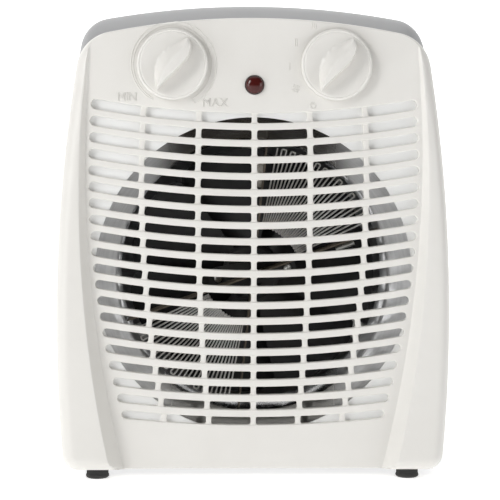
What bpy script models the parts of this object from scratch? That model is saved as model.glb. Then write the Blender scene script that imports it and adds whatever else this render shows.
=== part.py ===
"""Fan heater: white front shell with a slotted outlet, grey rear shell with a finger grip, two knobs, a
neon lamp, and inside them a zigzag heating element, a fan with its motor, a thermostat and a switch.
The front faces -Y, +Z is up, the feet stand on z = 0, and lengths are in metres."""

import math

import bmesh
import bpy
from mathutils import Matrix, Vector

# ---- driving dimensions -------------------------------------------------------------------------
WIDTH = 0.240  # widest place of the flanks
HEIGHT = 0.292  # floor to the crown of the rear shell
FRONT_Y = -0.064  # flat face of the two legs of the front shell
REAR_Y = 0.070  # back face of the rear shell
SEAM_Y = -0.038  # plane where the two shells meet
KNOB_FRONT_Y = -0.075
GLAND_REAR_Y = 0.075
GAP = 0.0003  # clearance between pieces that touch
WALL = 0.0025  # shell wall

WIDEST_Z = 0.095
FOOT_HEIGHT = 0.0065
FLANK_RADIUS = 0.975
REAR_FLANK_RADIUS = 1.150
FRONT_TOP_Z = 0.2817
FRONT_TOP_RADIUS = 0.445
REAR_TOP_RADIUS = 0.520
FRONT_SHOULDER = 0.024
REAR_SHOULDER = 0.020
BOTTOM_CORNER = 0.010
CROWN_Y = -0.014  # where the rear shell reaches its full height
FRONT_ROUND = (0.008, 0.0105)  # rounding of the front edge, inwards and in depth
FRONT_TOP_SHARE = 0.2  # share of that rounding left along the top
REAR_ROUND = 0.014

LEG_WALL = 0.004
PLATE = 0.0028  # panel thickness round the controls
GRILLE_PLATE = 0.006  # panel thickness in the slotted field
BAR_DEPTH = 0.0040
POCKET_DEPTH = 0.0042
PANEL_HALF = 0.1022
PANEL_WIDEST_Z = 0.190
PANEL_SIDE_RADIUS = 0.760
RECESS_TOP = 0.0012
RECESS_BOTTOM = 0.0120
RECESS_DRAFT = 0.59  # sideways slant of the leg's inner wall for each unit of depth
PANEL_CROWN = 0.004
CROWN_TOP_Z = 0.26405  # the crown of the panel fades out here and at the floor edge

SLOT_ROWS = 20
SLOT_FIRST_TOP = 0.2243
SLOT_PITCH = 0.01010
SLOT_PITCH_LOSS = 0.0000183  # each row sits a little closer than the one above
SLOT_HEIGHT = 0.0059
SLOT_HEIGHT_LOSS = 0.0000515
SLOT_HALF = 0.100
SLOT_WIDEST_Z = 0.185
SLOT_SIDE_RADIUS = 0.525
SLOT_SAG_RADIUS = 0.550
SLOT_FLAT_RADIUS = 0.770  # sag radius of the lowest row
SLOT_SAG_ROWS = 15  # rows above this one keep the same sag
RIB_PLACES = (-0.68, -0.34, 0.0, 0.34, 0.68)
RIB_WIDTH = 0.0033
FIELD_MARGIN = 0.003

OUTLET_Z = 0.1252
OUTLET_RADIUS = 0.0968
DUCT_MOUTH = 0.0980  # radius of the duct's conical mouth behind the panel
DUCT_MOUTH_REAR_Y = -0.042
DUCT_RADIUS = 0.0835  # of the throat round the fan
DUCT_SHEET = 0.0008
DUCT_REAR_Y = 0.008
FLANGE_RADIUS = 0.1078

KNOB_X = 0.0492
KNOB_Z = 0.2534
KNOB_RADIUS = 0.0213
SPINDLE_RADIUS = 0.003
RIDGE_ANGLE = math.radians(240)
LAMP_Z = 0.2413
LAMP_RADIUS = 0.0055

FOOT_X = 0.096
FOOT_RADIUS = 0.0072
FOOT_STEM = 0.0033
FRONT_FOOT_Y = -0.044
REAR_FOOT_Y = 0.044
SCREW_X = 0.100
SCREW_PLACES_Z = (0.040, 0.222)
SCREW_RADIUS = 0.0015
SCREW_HEAD_RADIUS = 0.0032
SCREW_HEAD = 0.0024
SCREW_SEAT_Y = SEAM_Y + GAP + 0.004  # floor of the sinks in the rear shell
GLAND_X = 0.074
GLAND_Z = 0.032
GLAND_NECK = 0.0055
GLAND_COLLAR = 0.0080
GLAND_BORE = 0.0033
POST_RADIUS = 0.0042
TUBE_RADIUS = 0.0052

GRIP_HALF = 0.048
GRIP_LOW = 0.240
GRIP_HIGH = 0.266
GRIP_HOOK = 0.276
GRIP_DEPTH = 0.023
GRIP_LIP = 0.009
INTAKE_RADIUS = 0.072
INTAKE_PITCH = 0.011
INTAKE_SLOT = 0.0055
INTAKE_RIB = 0.004

SHAFT_RADIUS = 0.0016
FAN_RADIUS = 0.078
FAN_HUB = 0.0183
FAN_FRONT_Y = -0.014
FAN_DEPTH = 0.018
FAN_BLADES = 7
BLADE_SPANS = (math.radians(56), math.radians(52))  # turn that a blade takes at the axis and at its tip
BOARD_FRONT_Y = -0.044
BOARD_DEPTH = 0.022
BOARD_SHEET = 0.0008
BOARD_ANGLES = (math.radians(20), math.radians(84))
BOARD_MARGIN = math.radians(5)  # turn left free between a board and the ribbon
ELEMENT_INNER = 0.030
ELEMENT_OUTER = 0.080
ELEMENT_LEGS = 27
RIBBON = 0.0005
RIBBON_DEPTH = 0.005
RIBBON_SET_BACK = 0.008  # from the boards' front edge to the ribbon's
CLAMP_ANGLE = math.radians(9)
CLAMP_HALF = 0.028
CLAMP_HALF_WIDTH = 0.007
CLAMP_SHEET = 0.0015
CLAMP_SCREW = 0.022  # from the fan's axis to each screw
STATOR_FRONT_Y = 0.021
STATOR_DEPTH = 0.016
STATOR_HALF = 0.024
STATOR_BORE = 0.0123
ROTOR_RADIUS = 0.0115
COIL_HALF = 0.0140
COIL_THICKNESS = 0.0085
MOTOR_SCREW_X = 0.020
BUSH_RADIUS = 0.005
BRACKET_SHEET = 0.0015
BRACKET_DISC = 0.027
BRACKET_ANGLES = (math.radians(90), math.radians(210), math.radians(330))
BAR_HALF = 0.026
BAR_HALF_HEIGHT = 0.008
BAR_THICKNESS = 0.003


# ---- small builders -----------------------------------------------------------------------------
def make_material(name, colour, roughness, metallic=0.0):
    made = bpy.data.materials.new(name)
    made.use_nodes = True
    shader = made.node_tree.nodes["Principled BSDF"]
    shader.inputs["Base Color"].default_value = (*colour, 1.0)
    shader.inputs["Roughness"].default_value = roughness
    shader.inputs["Metallic"].default_value = metallic
    made.diffuse_color = (*colour, 1.0)
    return made


def make_object(name, shape, material=None):
    """Turns a bmesh into an object; one without a material is a helper for Booleans."""
    bmesh.ops.recalc_face_normals(shape, faces=shape.faces[:])
    mesh = bpy.data.meshes.new(name)
    shape.to_mesh(mesh)
    shape.free()
    made = bpy.data.objects.new(name, mesh)
    bpy.context.scene.collection.objects.link(made)
    if material:
        mesh.materials.append(material)
        mesh.shade_smooth()
        mesh.set_sharp_from_angle(angle=math.radians(35))
    else:
        made.hide_render = True
        made.display_type = "WIRE"
    return made


def loft(rings):
    """A closed solid through rings of equal count, with a flat cap on both ends."""
    shape = bmesh.new()
    rows = [[shape.verts.new(point) for point in ring] for ring in rings]
    count = len(rows[0])
    for low, high in zip(rows, rows[1:]):
        for i in range(count):
            j = (i + 1) % count
            shape.faces.new((low[i], low[j], high[j], high[i]))
    shape.faces.new(rows[0][::-1])
    shape.faces.new(rows[-1])
    return shape


def ring_solid(loops):
    """A closed solid whose section is a loop, carried round a closed path."""
    shape = bmesh.new()
    rows = [[shape.verts.new(point) for point in loop] for loop in loops]
    count = len(rows[0])
    for i, row in enumerate(rows):
        after = rows[(i + 1) % len(rows)]
        for j in range(count):
            k = (j + 1) % count
            shape.faces.new((row[j], row[k], after[k], after[j]))
    return shape


def slab(front, back):
    """A closed solid between two grids of points of the same size."""
    shape = bmesh.new()
    near = [[shape.verts.new(point) for point in row] for row in front]
    far = [[shape.verts.new(point) for point in row] for row in back]
    rows = len(near)
    columns = len(near[0])
    for sheet in (near, far):
        for i in range(rows - 1):
            for j in range(columns - 1):
                shape.faces.new((sheet[i][j], sheet[i][j + 1], sheet[i + 1][j + 1], sheet[i + 1][j]))
    edge = [(0, j) for j in range(columns)]
    edge += [(i, columns - 1) for i in range(1, rows)]
    edge += [(rows - 1, j) for j in range(columns - 2, -1, -1)]
    edge += [(i, 0) for i in range(rows - 2, 0, -1)]
    for (i, j), (k, m) in zip(edge, edge[1:] + edge[:1]):
        shape.faces.new((near[i][j], near[k][m], far[k][m], far[i][j]))
    return shape


def box(low, high):
    front = [[(x, low[1], z) for x in (low[0], high[0])] for z in (low[2], high[2])]
    back = [[(x, high[1], z) for x in (low[0], high[0])] for z in (low[2], high[2])]
    return slab(front, back)


def turned(profile, centre, sides=24, axis="Y", bore=0.0):
    """A solid of (radius, distance) points turned about an axis through centre, with or without a bore."""
    turns = [2 * math.pi * i / sides for i in range(sides)]

    def place(radius, along, turn):
        across = radius * math.cos(turn)
        up = radius * math.sin(turn)
        offset = (across, along, up) if axis == "Y" else (across, up, along)
        return Vector(centre) + Vector(offset)

    if not bore:
        return loft([[place(r, along, turn) for turn in turns] for r, along in profile])
    section = [(bore, profile[0][1])] + list(profile) + [(bore, profile[-1][1])]
    return ring_solid([[place(r, along, turn) for r, along in section] for turn in turns])


def gathered(pieces):
    """One bmesh that holds several separate closed pieces."""
    whole = bmesh.new()
    for piece in pieces:
        mesh = bpy.data.meshes.new("piece")
        piece.to_mesh(mesh)
        piece.free()
        whole.from_mesh(mesh)
        bpy.data.meshes.remove(mesh)
    return whole


def hang_on_axis(name, place, pieces):
    """Parents the pieces that turn together to an empty on their joint's axis."""
    pivot = bpy.data.objects.new(name, None)
    pivot.location = place
    bpy.context.scene.collection.objects.link(pivot)
    for piece in pieces:
        piece.parent = pivot
        piece.matrix_parent_inverse = Matrix.Translation(place).inverted()


def add_boolean(target, helper, operation):
    made = target.modifiers.new(helper.name, "BOOLEAN")
    made.operation = operation
    made.object = helper


def cut(target, name, shape):
    add_boolean(target, make_object(name, shape), "DIFFERENCE")


def unite(target, name, shape):
    add_boolean(target, make_object(name, shape), "UNION")


def mix(first, second, share):
    return first + (second - first) * share


# ---- outline of the shells ----------------------------------------------------------------------
def arc_points(centre, radius, start, end, steps):
    turns = [mix(start, end, i / steps) for i in range(steps + 1)]
    return [(centre[0] + radius * math.cos(t), centre[1] + radius * math.sin(t)) for t in turns]


def angle_from(centre, point):
    return math.atan2(point[1] - centre[1], point[0] - centre[0])


def fillet_centre(side, side_reach, top, top_reach):
    """The outer point at side_reach from side and top_reach from top."""
    span = math.dist(side, top)
    along = (side_reach**2 - top_reach**2 + span**2) / (2 * span)
    height = math.sqrt(side_reach**2 - along**2)
    direction = ((top[0] - side[0]) / span, (top[1] - side[1]) / span)
    foot = (side[0] + direction[0] * along, side[1] + direction[1] * along)
    places = [(foot[0] - s * direction[1] * height, foot[1] + s * direction[0] * height) for s in (1, -1)]
    return max(places, key=lambda place: place[0])


def outline(rear_share, inset, y, rounding=0.0):
    """The shells' closed outline at y: arcs for flanks, shoulders, top and bottom corners. inset shrinks it
    all round; rounding shrinks it too, but the top less than the rest."""
    top_inset = inset + rounding * FRONT_TOP_SHARE
    inset += rounding
    flank = mix(FLANK_RADIUS, REAR_FLANK_RADIUS, rear_share)
    top_z = mix(FRONT_TOP_Z, HEIGHT, rear_share)
    top_radius = mix(FRONT_TOP_RADIUS, REAR_TOP_RADIUS, rear_share)
    shoulder = max(mix(FRONT_SHOULDER, REAR_SHOULDER, rear_share) - inset, 0.001)
    corner = max(BOTTOM_CORNER - inset, 0.001)
    low_z = FOOT_HEIGHT + inset
    side = (WIDTH / 2 - flank, WIDEST_Z)
    top = (0.0, top_z - top_radius)
    high = fillet_centre(side, flank - inset - shoulder, top, top_radius - top_inset - shoulder)
    reach = flank - inset - corner
    low = (side[0] + math.sqrt(reach**2 - (low_z + corner - side[1]) ** 2), low_z + corner)
    low_turn = angle_from(side, low)
    high_turn = angle_from(side, high)
    top_turn = angle_from(top, high)
    half = arc_points(low, corner, -math.pi / 2, low_turn, 4)
    half += arc_points(side, flank - inset, low_turn, high_turn, 7)[1:]
    half += arc_points(high, shoulder, high_turn, top_turn, 5)[1:]
    half += arc_points(top, top_radius - top_inset, top_turn, math.pi / 2, 5)[1:]
    mirrored = [(-x, z) for x, z in half[-2::-1]]
    return [(x, y, z) for x, z in half + mirrored]


# ---- surface and slots of the front panel -------------------------------------------------------
def panel_half(z):
    drop = z - PANEL_WIDEST_Z
    return PANEL_HALF - PANEL_SIDE_RADIUS + math.sqrt(PANEL_SIDE_RADIUS**2 - drop**2)


def recess(z):
    return mix(RECESS_TOP, RECESS_BOTTOM, (FRONT_TOP_Z - z) / (FRONT_TOP_Z - FOOT_HEIGHT))


def panel_y(x, z):
    """Front surface of the panel: it leans back towards the bottom and is a little crowned."""
    middle = (FOOT_HEIGHT + CROWN_TOP_Z) / 2
    across = max(0.0, 1 - (x / panel_half(z)) ** 2)
    upward = max(0.0, 1 - ((z - middle) / (middle - FOOT_HEIGHT)) ** 2)
    return FRONT_Y + recess(z) - PANEL_CROWN * across * upward


def slot_half(z):
    return SLOT_HALF - SLOT_SIDE_RADIUS + math.sqrt(SLOT_SIDE_RADIUS**2 - (z - SLOT_WIDEST_Z) ** 2)


def slot_top(row, x):
    share = max(0.0, (row - SLOT_SAG_ROWS) / (SLOT_ROWS - 1 - SLOT_SAG_ROWS))
    bend = mix(1 / SLOT_SAG_RADIUS, 1 / SLOT_FLAT_RADIUS, share)
    return SLOT_FIRST_TOP - SLOT_PITCH * row + SLOT_PITCH_LOSS * row**2 + x**2 * bend / 2


def slot_height(row):
    return SLOT_HEIGHT - SLOT_HEIGHT_LOSS * row


def slot_cells(row):
    """(left, right) of each of the six openings of a row, between the ribs."""
    half = slot_half(slot_top(row, SLOT_HALF) - slot_height(row) / 2)
    ribs = [place * half for place in RIB_PLACES]
    lefts = [-half] + [x + RIB_WIDTH / 2 for x in ribs]
    rights = [x - RIB_WIDTH / 2 for x in ribs] + [half]
    return list(zip(lefts, rights))


def panel_patch(half_at, low_at, high_at, columns, rows, depth_at):
    """A grid of points over part of the panel, from low_at(x) to high_at(x)."""
    grid = []
    for i in range(rows + 1):
        row = []
        for j in range(columns + 1):
            u = 2 * j / columns - 1
            guess = u * PANEL_HALF
            z = mix(low_at(guess), high_at(guess), i / rows)
            x = u * half_at(z)
            row.append((x, depth_at(x, z), z))
        grid.append(row)
    return grid


def widened(grid, y, half_at):
    """The same grid moved to y, with each row stretched to its new half width."""
    moved = []
    for row in grid:
        wide = half_at(row[0][2]) / row[-1][0]
        moved.append([(x * wide, y, z) for x, _, z in row])
    return moved


# ---- pieces -------------------------------------------------------------------------------------
def shell_rings(stations, inset):
    return [outline(share, inset + own, y, rounding) for y, share, own, rounding in stations]


def front_stations(wall, front_wall):
    """Depth, share and inset of the rings round the front edge, for the outside or for the hollow."""
    inwards, depth = FRONT_ROUND
    turns = [math.radians(a) for a in (0, 22.5, 45, 67.5, 90)]
    return [
        (
            FRONT_Y + depth - (depth - front_wall) * math.sin(t),
            0.0,
            0.0,
            (inwards - wall) * (1 - math.cos(t)),
        )
        for t in turns
    ]


def make_front_shell(white):
    outer = [(SEAM_Y - GAP / 2, 0.0, 0.0, 0.0)] + front_stations(0.0, 0.0)
    shell = make_object("front_shell", loft(shell_rings(outer, 0.0)), white)
    inner = [(SEAM_Y + WALL, 0.0, 0.0, 0.0)] + front_stations(WALL, LEG_WALL)
    cut(shell, "front_hollow", loft(shell_rings(inner, WALL)))

    low_z = FOOT_HEIGHT + WALL / 2
    half = lambda z: panel_half(z) + WALL
    wide = lambda z: half(z) + RECESS_DRAFT * recess(z)
    rear = lambda x, z: panel_y(x, z) + PLATE
    tray_back = panel_patch(half, lambda x: low_z, lambda x: FRONT_TOP_Z, 6, 6, rear)
    tray_front = widened(tray_back, FRONT_Y + WALL / 2, wide)
    tray = make_object("panel_tray", slab(tray_front, tray_back))
    trim = make_object("tray_trim", loft(shell_rings(outer, WALL / 4)))
    add_boolean(tray, trim, "INTERSECT")
    add_boolean(shell, tray, "UNION")

    field_half = lambda z: slot_half(z) + FIELD_MARGIN
    last = SLOT_ROWS - 1
    field_low = lambda x: slot_top(last, x) - slot_height(last) - FIELD_MARGIN
    field_high = lambda x: slot_top(0, x) + FIELD_MARGIN
    depths = (lambda x, z: panel_y(x, z) + PLATE / 2, lambda x, z: panel_y(x, z) + GRILLE_PLATE)
    sheets = [panel_patch(field_half, field_low, field_high, 6, 6, depth) for depth in depths]
    unite(shell, "slot_field", slab(*sheets))

    for side in (-1, 1):
        for z in SCREW_PLACES_Z:
            behind_panel = panel_half(z) > SCREW_X
            start = FRONT_Y + LEG_WALL - WALL / 2
            if behind_panel:
                start = panel_y(SCREW_X, z) + POCKET_DEPTH + GAP
            post = turned([(POST_RADIUS, start), (POST_RADIUS, SEAM_Y - GAP)], (side * SCREW_X, 0, z), 12)
            unite(shell, "front_post", post)

    reach = 0.03
    margin = 0.02
    low_z = FOOT_HEIGHT - margin / 2
    high_z = FRONT_TOP_Z + margin
    recess_back = panel_patch(panel_half, lambda x: low_z, lambda x: high_z, 6, 8, panel_y)
    mouth = lambda z: panel_half(z) + RECESS_DRAFT * (recess(z) + reach)
    recess_front = widened(recess_back, FRONT_Y - reach, mouth)
    cut(shell, "panel_recess", slab(recess_front, recess_back))

    slots = []
    for row in range(SLOT_ROWS):
        for left, right in slot_cells(row):
            drops = (slot_height(row), 0.0)
            corners = [[(x, slot_top(row, x) - drop) for x in (left, right)] for drop in drops]
            near = [[(x, FRONT_Y - reach, z) for x, z in pair] for pair in corners]
            far = [[(x, panel_y(x, z) + POCKET_DEPTH, z) for x, z in pair] for pair in corners]
            slots.append(slab(near, far))
    cut(shell, "slots", gathered(slots))

    cut(shell, "outlet", outlet_cutter())

    hole = SPINDLE_RADIUS + 3 * GAP
    stem = FOOT_STEM + GAP
    for side in (-1, 1):
        through = [(hole, FRONT_Y - reach), (hole, SEAM_Y)]
        cut(shell, "spindle_hole", turned(through, (side * KNOB_X, 0, KNOB_Z), 20))
        foot = [(stem, 0), (stem, FOOT_HEIGHT + WALL + 0.001)]
        cut(shell, "foot_hole", turned(foot, (side * FOOT_X, FRONT_FOOT_Y, 0), 16, "Z"))
        for z in SCREW_PLACES_Z:
            bore = [(SCREW_RADIUS + GAP, SEAM_Y - 0.014), (SCREW_RADIUS + GAP, SEAM_Y + WALL)]
            cut(shell, "post_bore", turned(bore, (side * SCREW_X, 0, z), 12))
    lamp = [(LAMP_RADIUS + GAP, FRONT_Y - reach), (LAMP_RADIUS + GAP, SEAM_Y)]
    cut(shell, "lamp_hole", turned(lamp, (0, 0, LAMP_Z), 24))
    return shell


def outlet_cutter():
    """Opens the slots to the inside: a round plug whose front follows the panel at the bars' depth."""
    sectors = 48
    turns = [2 * math.pi * i / sectors for i in range(sectors)]
    outlet = bmesh.new()
    rows = []
    for radius in (OUTLET_RADIUS / 3, OUTLET_RADIUS * 2 / 3, OUTLET_RADIUS):
        places = [(radius * math.cos(t), OUTLET_Z + radius * math.sin(t)) for t in turns]
        rows.append([outlet.verts.new((x, panel_y(x, z) + BAR_DEPTH, z)) for x, z in places])
    rows.append([outlet.verts.new((v.co.x, SEAM_Y, v.co.z)) for v in rows[-1]])
    for ring, after in zip(rows, rows[1:]):
        for i in range(sectors):
            j = (i + 1) % sectors
            outlet.faces.new((ring[i], ring[j], after[j], after[i]))
    middle = outlet.verts.new((0, panel_y(0, OUTLET_Z) + BAR_DEPTH, OUTLET_Z))
    for i in range(sectors):
        outlet.faces.new((rows[0][i], middle, rows[0][(i + 1) % sectors]))
    outlet.faces.new(rows[-1])
    return outlet


def make_rear_shell(grey):
    steps = 4
    rise = []
    for i in range(steps + 1):
        share = i / steps
        rise.append((mix(SEAM_Y + GAP / 2, CROWN_Y, share), math.sin(share * math.pi / 2), 0.0, 0.0))
    turns = [math.radians(a) for a in (0, 22.5, 45, 67.5, 90)]
    outer = rise + [
        (REAR_Y - REAR_ROUND * (1 - math.sin(t)), 1.0, REAR_ROUND * (1 - math.cos(t)), 0.0) for t in turns
    ]
    shell = make_object("rear_shell", loft(shell_rings(outer, 0.0)), grey)
    inside_round = REAR_ROUND - WALL
    inner = [(SEAM_Y - WALL, 0.0, 0.0, 0.0)] + rise + [
        (REAR_Y - WALL - inside_round * (1 - math.sin(t)), 1.0, inside_round * (1 - math.cos(t)), 0.0)
        for t in turns
    ]
    cut(shell, "rear_hollow", loft(shell_rings(inner, WALL)))

    grip_front = REAR_Y - GRIP_DEPTH
    walls = box(
        (-GRIP_HALF - WALL, grip_front - WALL, GRIP_LOW - WALL),
        (GRIP_HALF + WALL, REAR_Y - WALL / 2, GRIP_HOOK + WALL),
    )
    unite(shell, "grip_walls", walls)
    for side in (-1, 1):
        for z in SCREW_PLACES_Z:
            tube = [(TUBE_RADIUS, SEAM_Y + GAP), (TUBE_RADIUS, REAR_Y - WALL / 2)]
            unite(shell, "rear_tube", turned(tube, (side * SCREW_X, 0, z), 12))
    cut(shell, "grip_mouth", box((-GRIP_HALF, grip_front, GRIP_LOW), (GRIP_HALF, REAR_Y + WALL, GRIP_HIGH)))
    hook_low = GRIP_HIGH - WALL
    hook = box((-GRIP_HALF, grip_front, hook_low), (GRIP_HALF, REAR_Y - GRIP_LIP, GRIP_HOOK))
    cut(shell, "grip_hook", hook)

    slots = []
    rows = int(INTAKE_RADIUS / INTAKE_PITCH)
    for row in range(-rows, rows + 1):
        z = row * INTAKE_PITCH
        height = abs(z) + INTAKE_SLOT / 2
        if height >= INTAKE_RADIUS:
            continue
        half = math.sqrt(INTAKE_RADIUS**2 - height**2)
        rib = INTAKE_RADIUS / 2
        for left, right in ((-half, -rib), (-rib, 0.0), (0.0, rib), (rib, half)):
            left = max(left, -half) + (INTAKE_RIB / 2 if left > -half else 0.0)
            right = min(right, half) - (INTAKE_RIB / 2 if right < half else 0.0)
            if right - left < INTAKE_SLOT:
                continue
            low = (left, REAR_Y - 2 * WALL, OUTLET_Z + z - INTAKE_SLOT / 2)
            high = (right, REAR_Y + WALL, OUTLET_Z + z + INTAKE_SLOT / 2)
            slots.append(box(low, high))
    cut(shell, "intake_slots", gathered(slots))

    stem = FOOT_STEM + GAP
    sink_radius = SCREW_HEAD_RADIUS + 2 * GAP
    for side in (-1, 1):
        foot = [(stem, 0), (stem, FOOT_HEIGHT + WALL + 0.001)]
        cut(shell, "rear_foot_hole", turned(foot, (side * FOOT_X, REAR_FOOT_Y, 0), 16, "Z"))
        for z in SCREW_PLACES_Z:
            sink = [(sink_radius, SCREW_SEAT_Y), (sink_radius, REAR_Y + WALL)]
            cut(shell, "screw_sink", turned(sink, (side * SCREW_X, 0, z), 12))
            hole = [(SCREW_RADIUS + GAP, SEAM_Y - WALL), (SCREW_RADIUS + GAP, SCREW_SEAT_Y + WALL)]
            cut(shell, "screw_hole", turned(hole, (side * SCREW_X, 0, z), 12))
    neck = [(GLAND_NECK + GAP, REAR_Y - 2 * WALL), (GLAND_NECK + GAP, REAR_Y + WALL)]
    cut(shell, "gland_hole", turned(neck, (GLAND_X, 0, GLAND_Z), 20))
    return shell


def make_gland(black):
    inside = REAR_Y - WALL - GAP
    profile = [
        (GLAND_COLLAR * 0.94, inside - 0.002),
        (GLAND_COLLAR * 0.94, inside),
        (GLAND_NECK, inside),
        (GLAND_NECK, REAR_Y + GAP),
        (GLAND_COLLAR, REAR_Y + GAP),
        (GLAND_COLLAR, REAR_Y + 0.0022),
        (GLAND_BORE + 0.0017, REAR_Y + 0.0030),
        (GLAND_BORE + 0.0013, GLAND_REAR_Y),
    ]
    return make_object("cord_gland", turned(profile, (GLAND_X, 0, GLAND_Z), 20, bore=GLAND_BORE), black)


def make_feet(rubber):
    profile = [
        (FOOT_RADIUS * 0.86, 0.0),
        (FOOT_RADIUS, 0.0012),
        (FOOT_RADIUS * 0.95, FOOT_HEIGHT - GAP),
        (FOOT_STEM, FOOT_HEIGHT - GAP),
        (FOOT_STEM, FOOT_HEIGHT + WALL + 0.0005),
    ]
    for end, y in (("front", FRONT_FOOT_Y), ("rear", REAR_FOOT_Y)):
        for side, x in (("left", -FOOT_X), ("right", FOOT_X)):
            make_object(f"foot_{end}_{side}", turned(profile, (x, y, 0), 20, "Z"), rubber)


def make_shell_screws(steel):
    seat = SCREW_SEAT_Y + GAP
    profile = [
        (SCREW_RADIUS, seat - 0.016),
        (SCREW_RADIUS, seat),
        (SCREW_HEAD_RADIUS, seat),
        (SCREW_HEAD_RADIUS, seat + SCREW_HEAD),
    ]
    places = [(side * SCREW_X, 0, z) for z in SCREW_PLACES_Z for side in (-1, 1)]
    for number, place in enumerate(places, 1):
        make_object(f"shell_screw_{number}", turned(profile, place, 12), steel)


def make_duct(sheet):
    sections = []
    for i in range(48):
        turn = 2 * math.pi * i / 48
        across = math.cos(turn)
        up = math.sin(turn)
        inner = DUCT_RADIUS
        outer = DUCT_RADIUS + DUCT_SHEET
        lip = DUCT_MOUTH + DUCT_SHEET
        front = panel_y(lip * across, OUTLET_Z + lip * up) + GRILLE_PLATE + GAP
        section = [
            (DUCT_MOUTH, front),
            (lip, front),
            (outer, DUCT_MOUTH_REAR_Y),
            (outer, DUCT_REAR_Y - DUCT_SHEET),
            (FLANGE_RADIUS, DUCT_REAR_Y - DUCT_SHEET),
            (FLANGE_RADIUS, DUCT_REAR_Y),
            (inner, DUCT_REAR_Y),
            (inner, DUCT_MOUTH_REAR_Y),
        ]
        sections.append([(r * across, y, OUTLET_Z + r * up) for r, y in section])
    duct = make_object("duct_ring", ring_solid(sections), sheet)
    for place in bracket_screw_places():
        hole = [(SCREW_RADIUS + GAP, DUCT_REAR_Y - 0.004), (SCREW_RADIUS + GAP, DUCT_REAR_Y + 0.004)]
        cut(duct, "flange_hole", turned(hole, place, 14))
    return duct


def bracket_screw_places():
    radius = (DUCT_RADIUS + DUCT_SHEET + FLANGE_RADIUS) / 2
    return [(radius * math.cos(t), 0, OUTLET_Z + radius * math.sin(t)) for t in BRACKET_ANGLES]


def turn_about_outlet(shape, angle):
    """Turns a shape that lies along +X about the fan's axis, counter-clockwise seen from the front."""
    centre = Matrix.Translation((0, 0, OUTLET_Z))
    turn = Matrix.Rotation(-angle, 4, "Y")
    bmesh.ops.transform(shape, matrix=centre @ turn @ centre.inverted(), verts=shape.verts[:])
    return shape


def make_mica_boards(mica):
    length = DUCT_RADIUS - 3 * GAP
    half_lap = (BOARD_SHEET / 2 + GAP) / math.sin(BOARD_ANGLES[1] - BOARD_ANGLES[0]) + BOARD_SHEET / 2
    middle = BOARD_FRONT_Y + BOARD_DEPTH / 2
    notches = ((BOARD_FRONT_Y - WALL, middle + GAP), (middle - GAP, BOARD_FRONT_Y + BOARD_DEPTH + WALL))
    for number, (angle, notch) in enumerate(zip(BOARD_ANGLES, notches), 1):
        low = (-length, BOARD_FRONT_Y, OUTLET_Z - BOARD_SHEET / 2)
        high = (length, BOARD_FRONT_Y + BOARD_DEPTH, OUTLET_Z + BOARD_SHEET / 2)
        board = make_object(f"mica_board_{number}", turn_about_outlet(box(low, high), angle), mica)
        low = (-half_lap, notch[0], OUTLET_Z - WALL)
        high = (half_lap, notch[1], OUTLET_Z + WALL)
        cut(board, "board_notch", turn_about_outlet(box(low, high), angle))


def make_elements(ribbon):
    """Two hairpin ribbons, one in each narrow pair of sectors between the mica boards."""
    first = BOARD_ANGLES[0] + BOARD_MARGIN
    last = BOARD_ANGLES[1] - BOARD_MARGIN
    low_y = BOARD_FRONT_Y + RIBBON_SET_BACK
    for name, start in (("heating_element_upper", first), ("heating_element_lower", first + math.pi)):
        step = (last - first) / (ELEMENT_LEGS - 1)
        path = []
        for leg in range(ELEMENT_LEGS):
            turn = start + leg * step
            ends = [ELEMENT_INNER, ELEMENT_OUTER]
            path += [(turn, r) for r in (ends if leg % 2 == 0 else ends[::-1])]
        points = [Vector((r * math.cos(t), r * math.sin(t))) for t, r in path]
        left = []
        right = []
        for i, point in enumerate(points):
            before = points[max(i - 1, 0)]
            after = points[min(i + 1, len(points) - 1)]
            into = (point - before).normalized() if i else (after - point).normalized()
            out = (after - point).normalized() if i < len(points) - 1 else into
            normal = (into + out).normalized()
            normal = Vector((-normal.y, normal.x))
            square = Vector((-into.y, into.x))
            offset = normal * (RIBBON / 2 / max(normal.dot(square), 0.5))
            left.append(point + offset)
            right.append(point - offset)
        near = [[(p.x, low_y, OUTLET_Z + p.y) for p in side] for side in (left, right)]
        far = [[(p.x, low_y + RIBBON_DEPTH, OUTLET_Z + p.y) for p in side] for side in (left, right)]
        make_object(name, slab(near, far), ribbon)


def make_element_clamp(black, steel):
    """A strip behind the crossing of the boards, held by two screws."""
    front = BOARD_FRONT_Y + BOARD_DEPTH + GAP
    low = (-CLAMP_HALF, front, OUTLET_Z - CLAMP_HALF_WIDTH)
    high = (CLAMP_HALF, front + CLAMP_SHEET, OUTLET_Z + CLAMP_HALF_WIDTH)
    clamp = make_object("element_clamp", turn_about_outlet(box(low, high), CLAMP_ANGLE), black)
    for number, side in enumerate((-1, 1), 1):
        reach = side * CLAMP_SCREW
        place = (reach * math.cos(CLAMP_ANGLE), 0, OUTLET_Z + reach * math.sin(CLAMP_ANGLE))
        hole = [(SCREW_RADIUS + GAP, front - WALL), (SCREW_RADIUS + GAP, front + 2 * WALL)]
        cut(clamp, "clamp_hole", turned(hole, place, 12))
        profile = [
            (0.0027, front - GAP - 0.0018),
            (0.0027, front - GAP),
            (SCREW_RADIUS, front - GAP),
            (SCREW_RADIUS, front + 0.004),
        ]
        make_object(f"clamp_screw_{number}", turned(profile, place, 12), steel)


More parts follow.
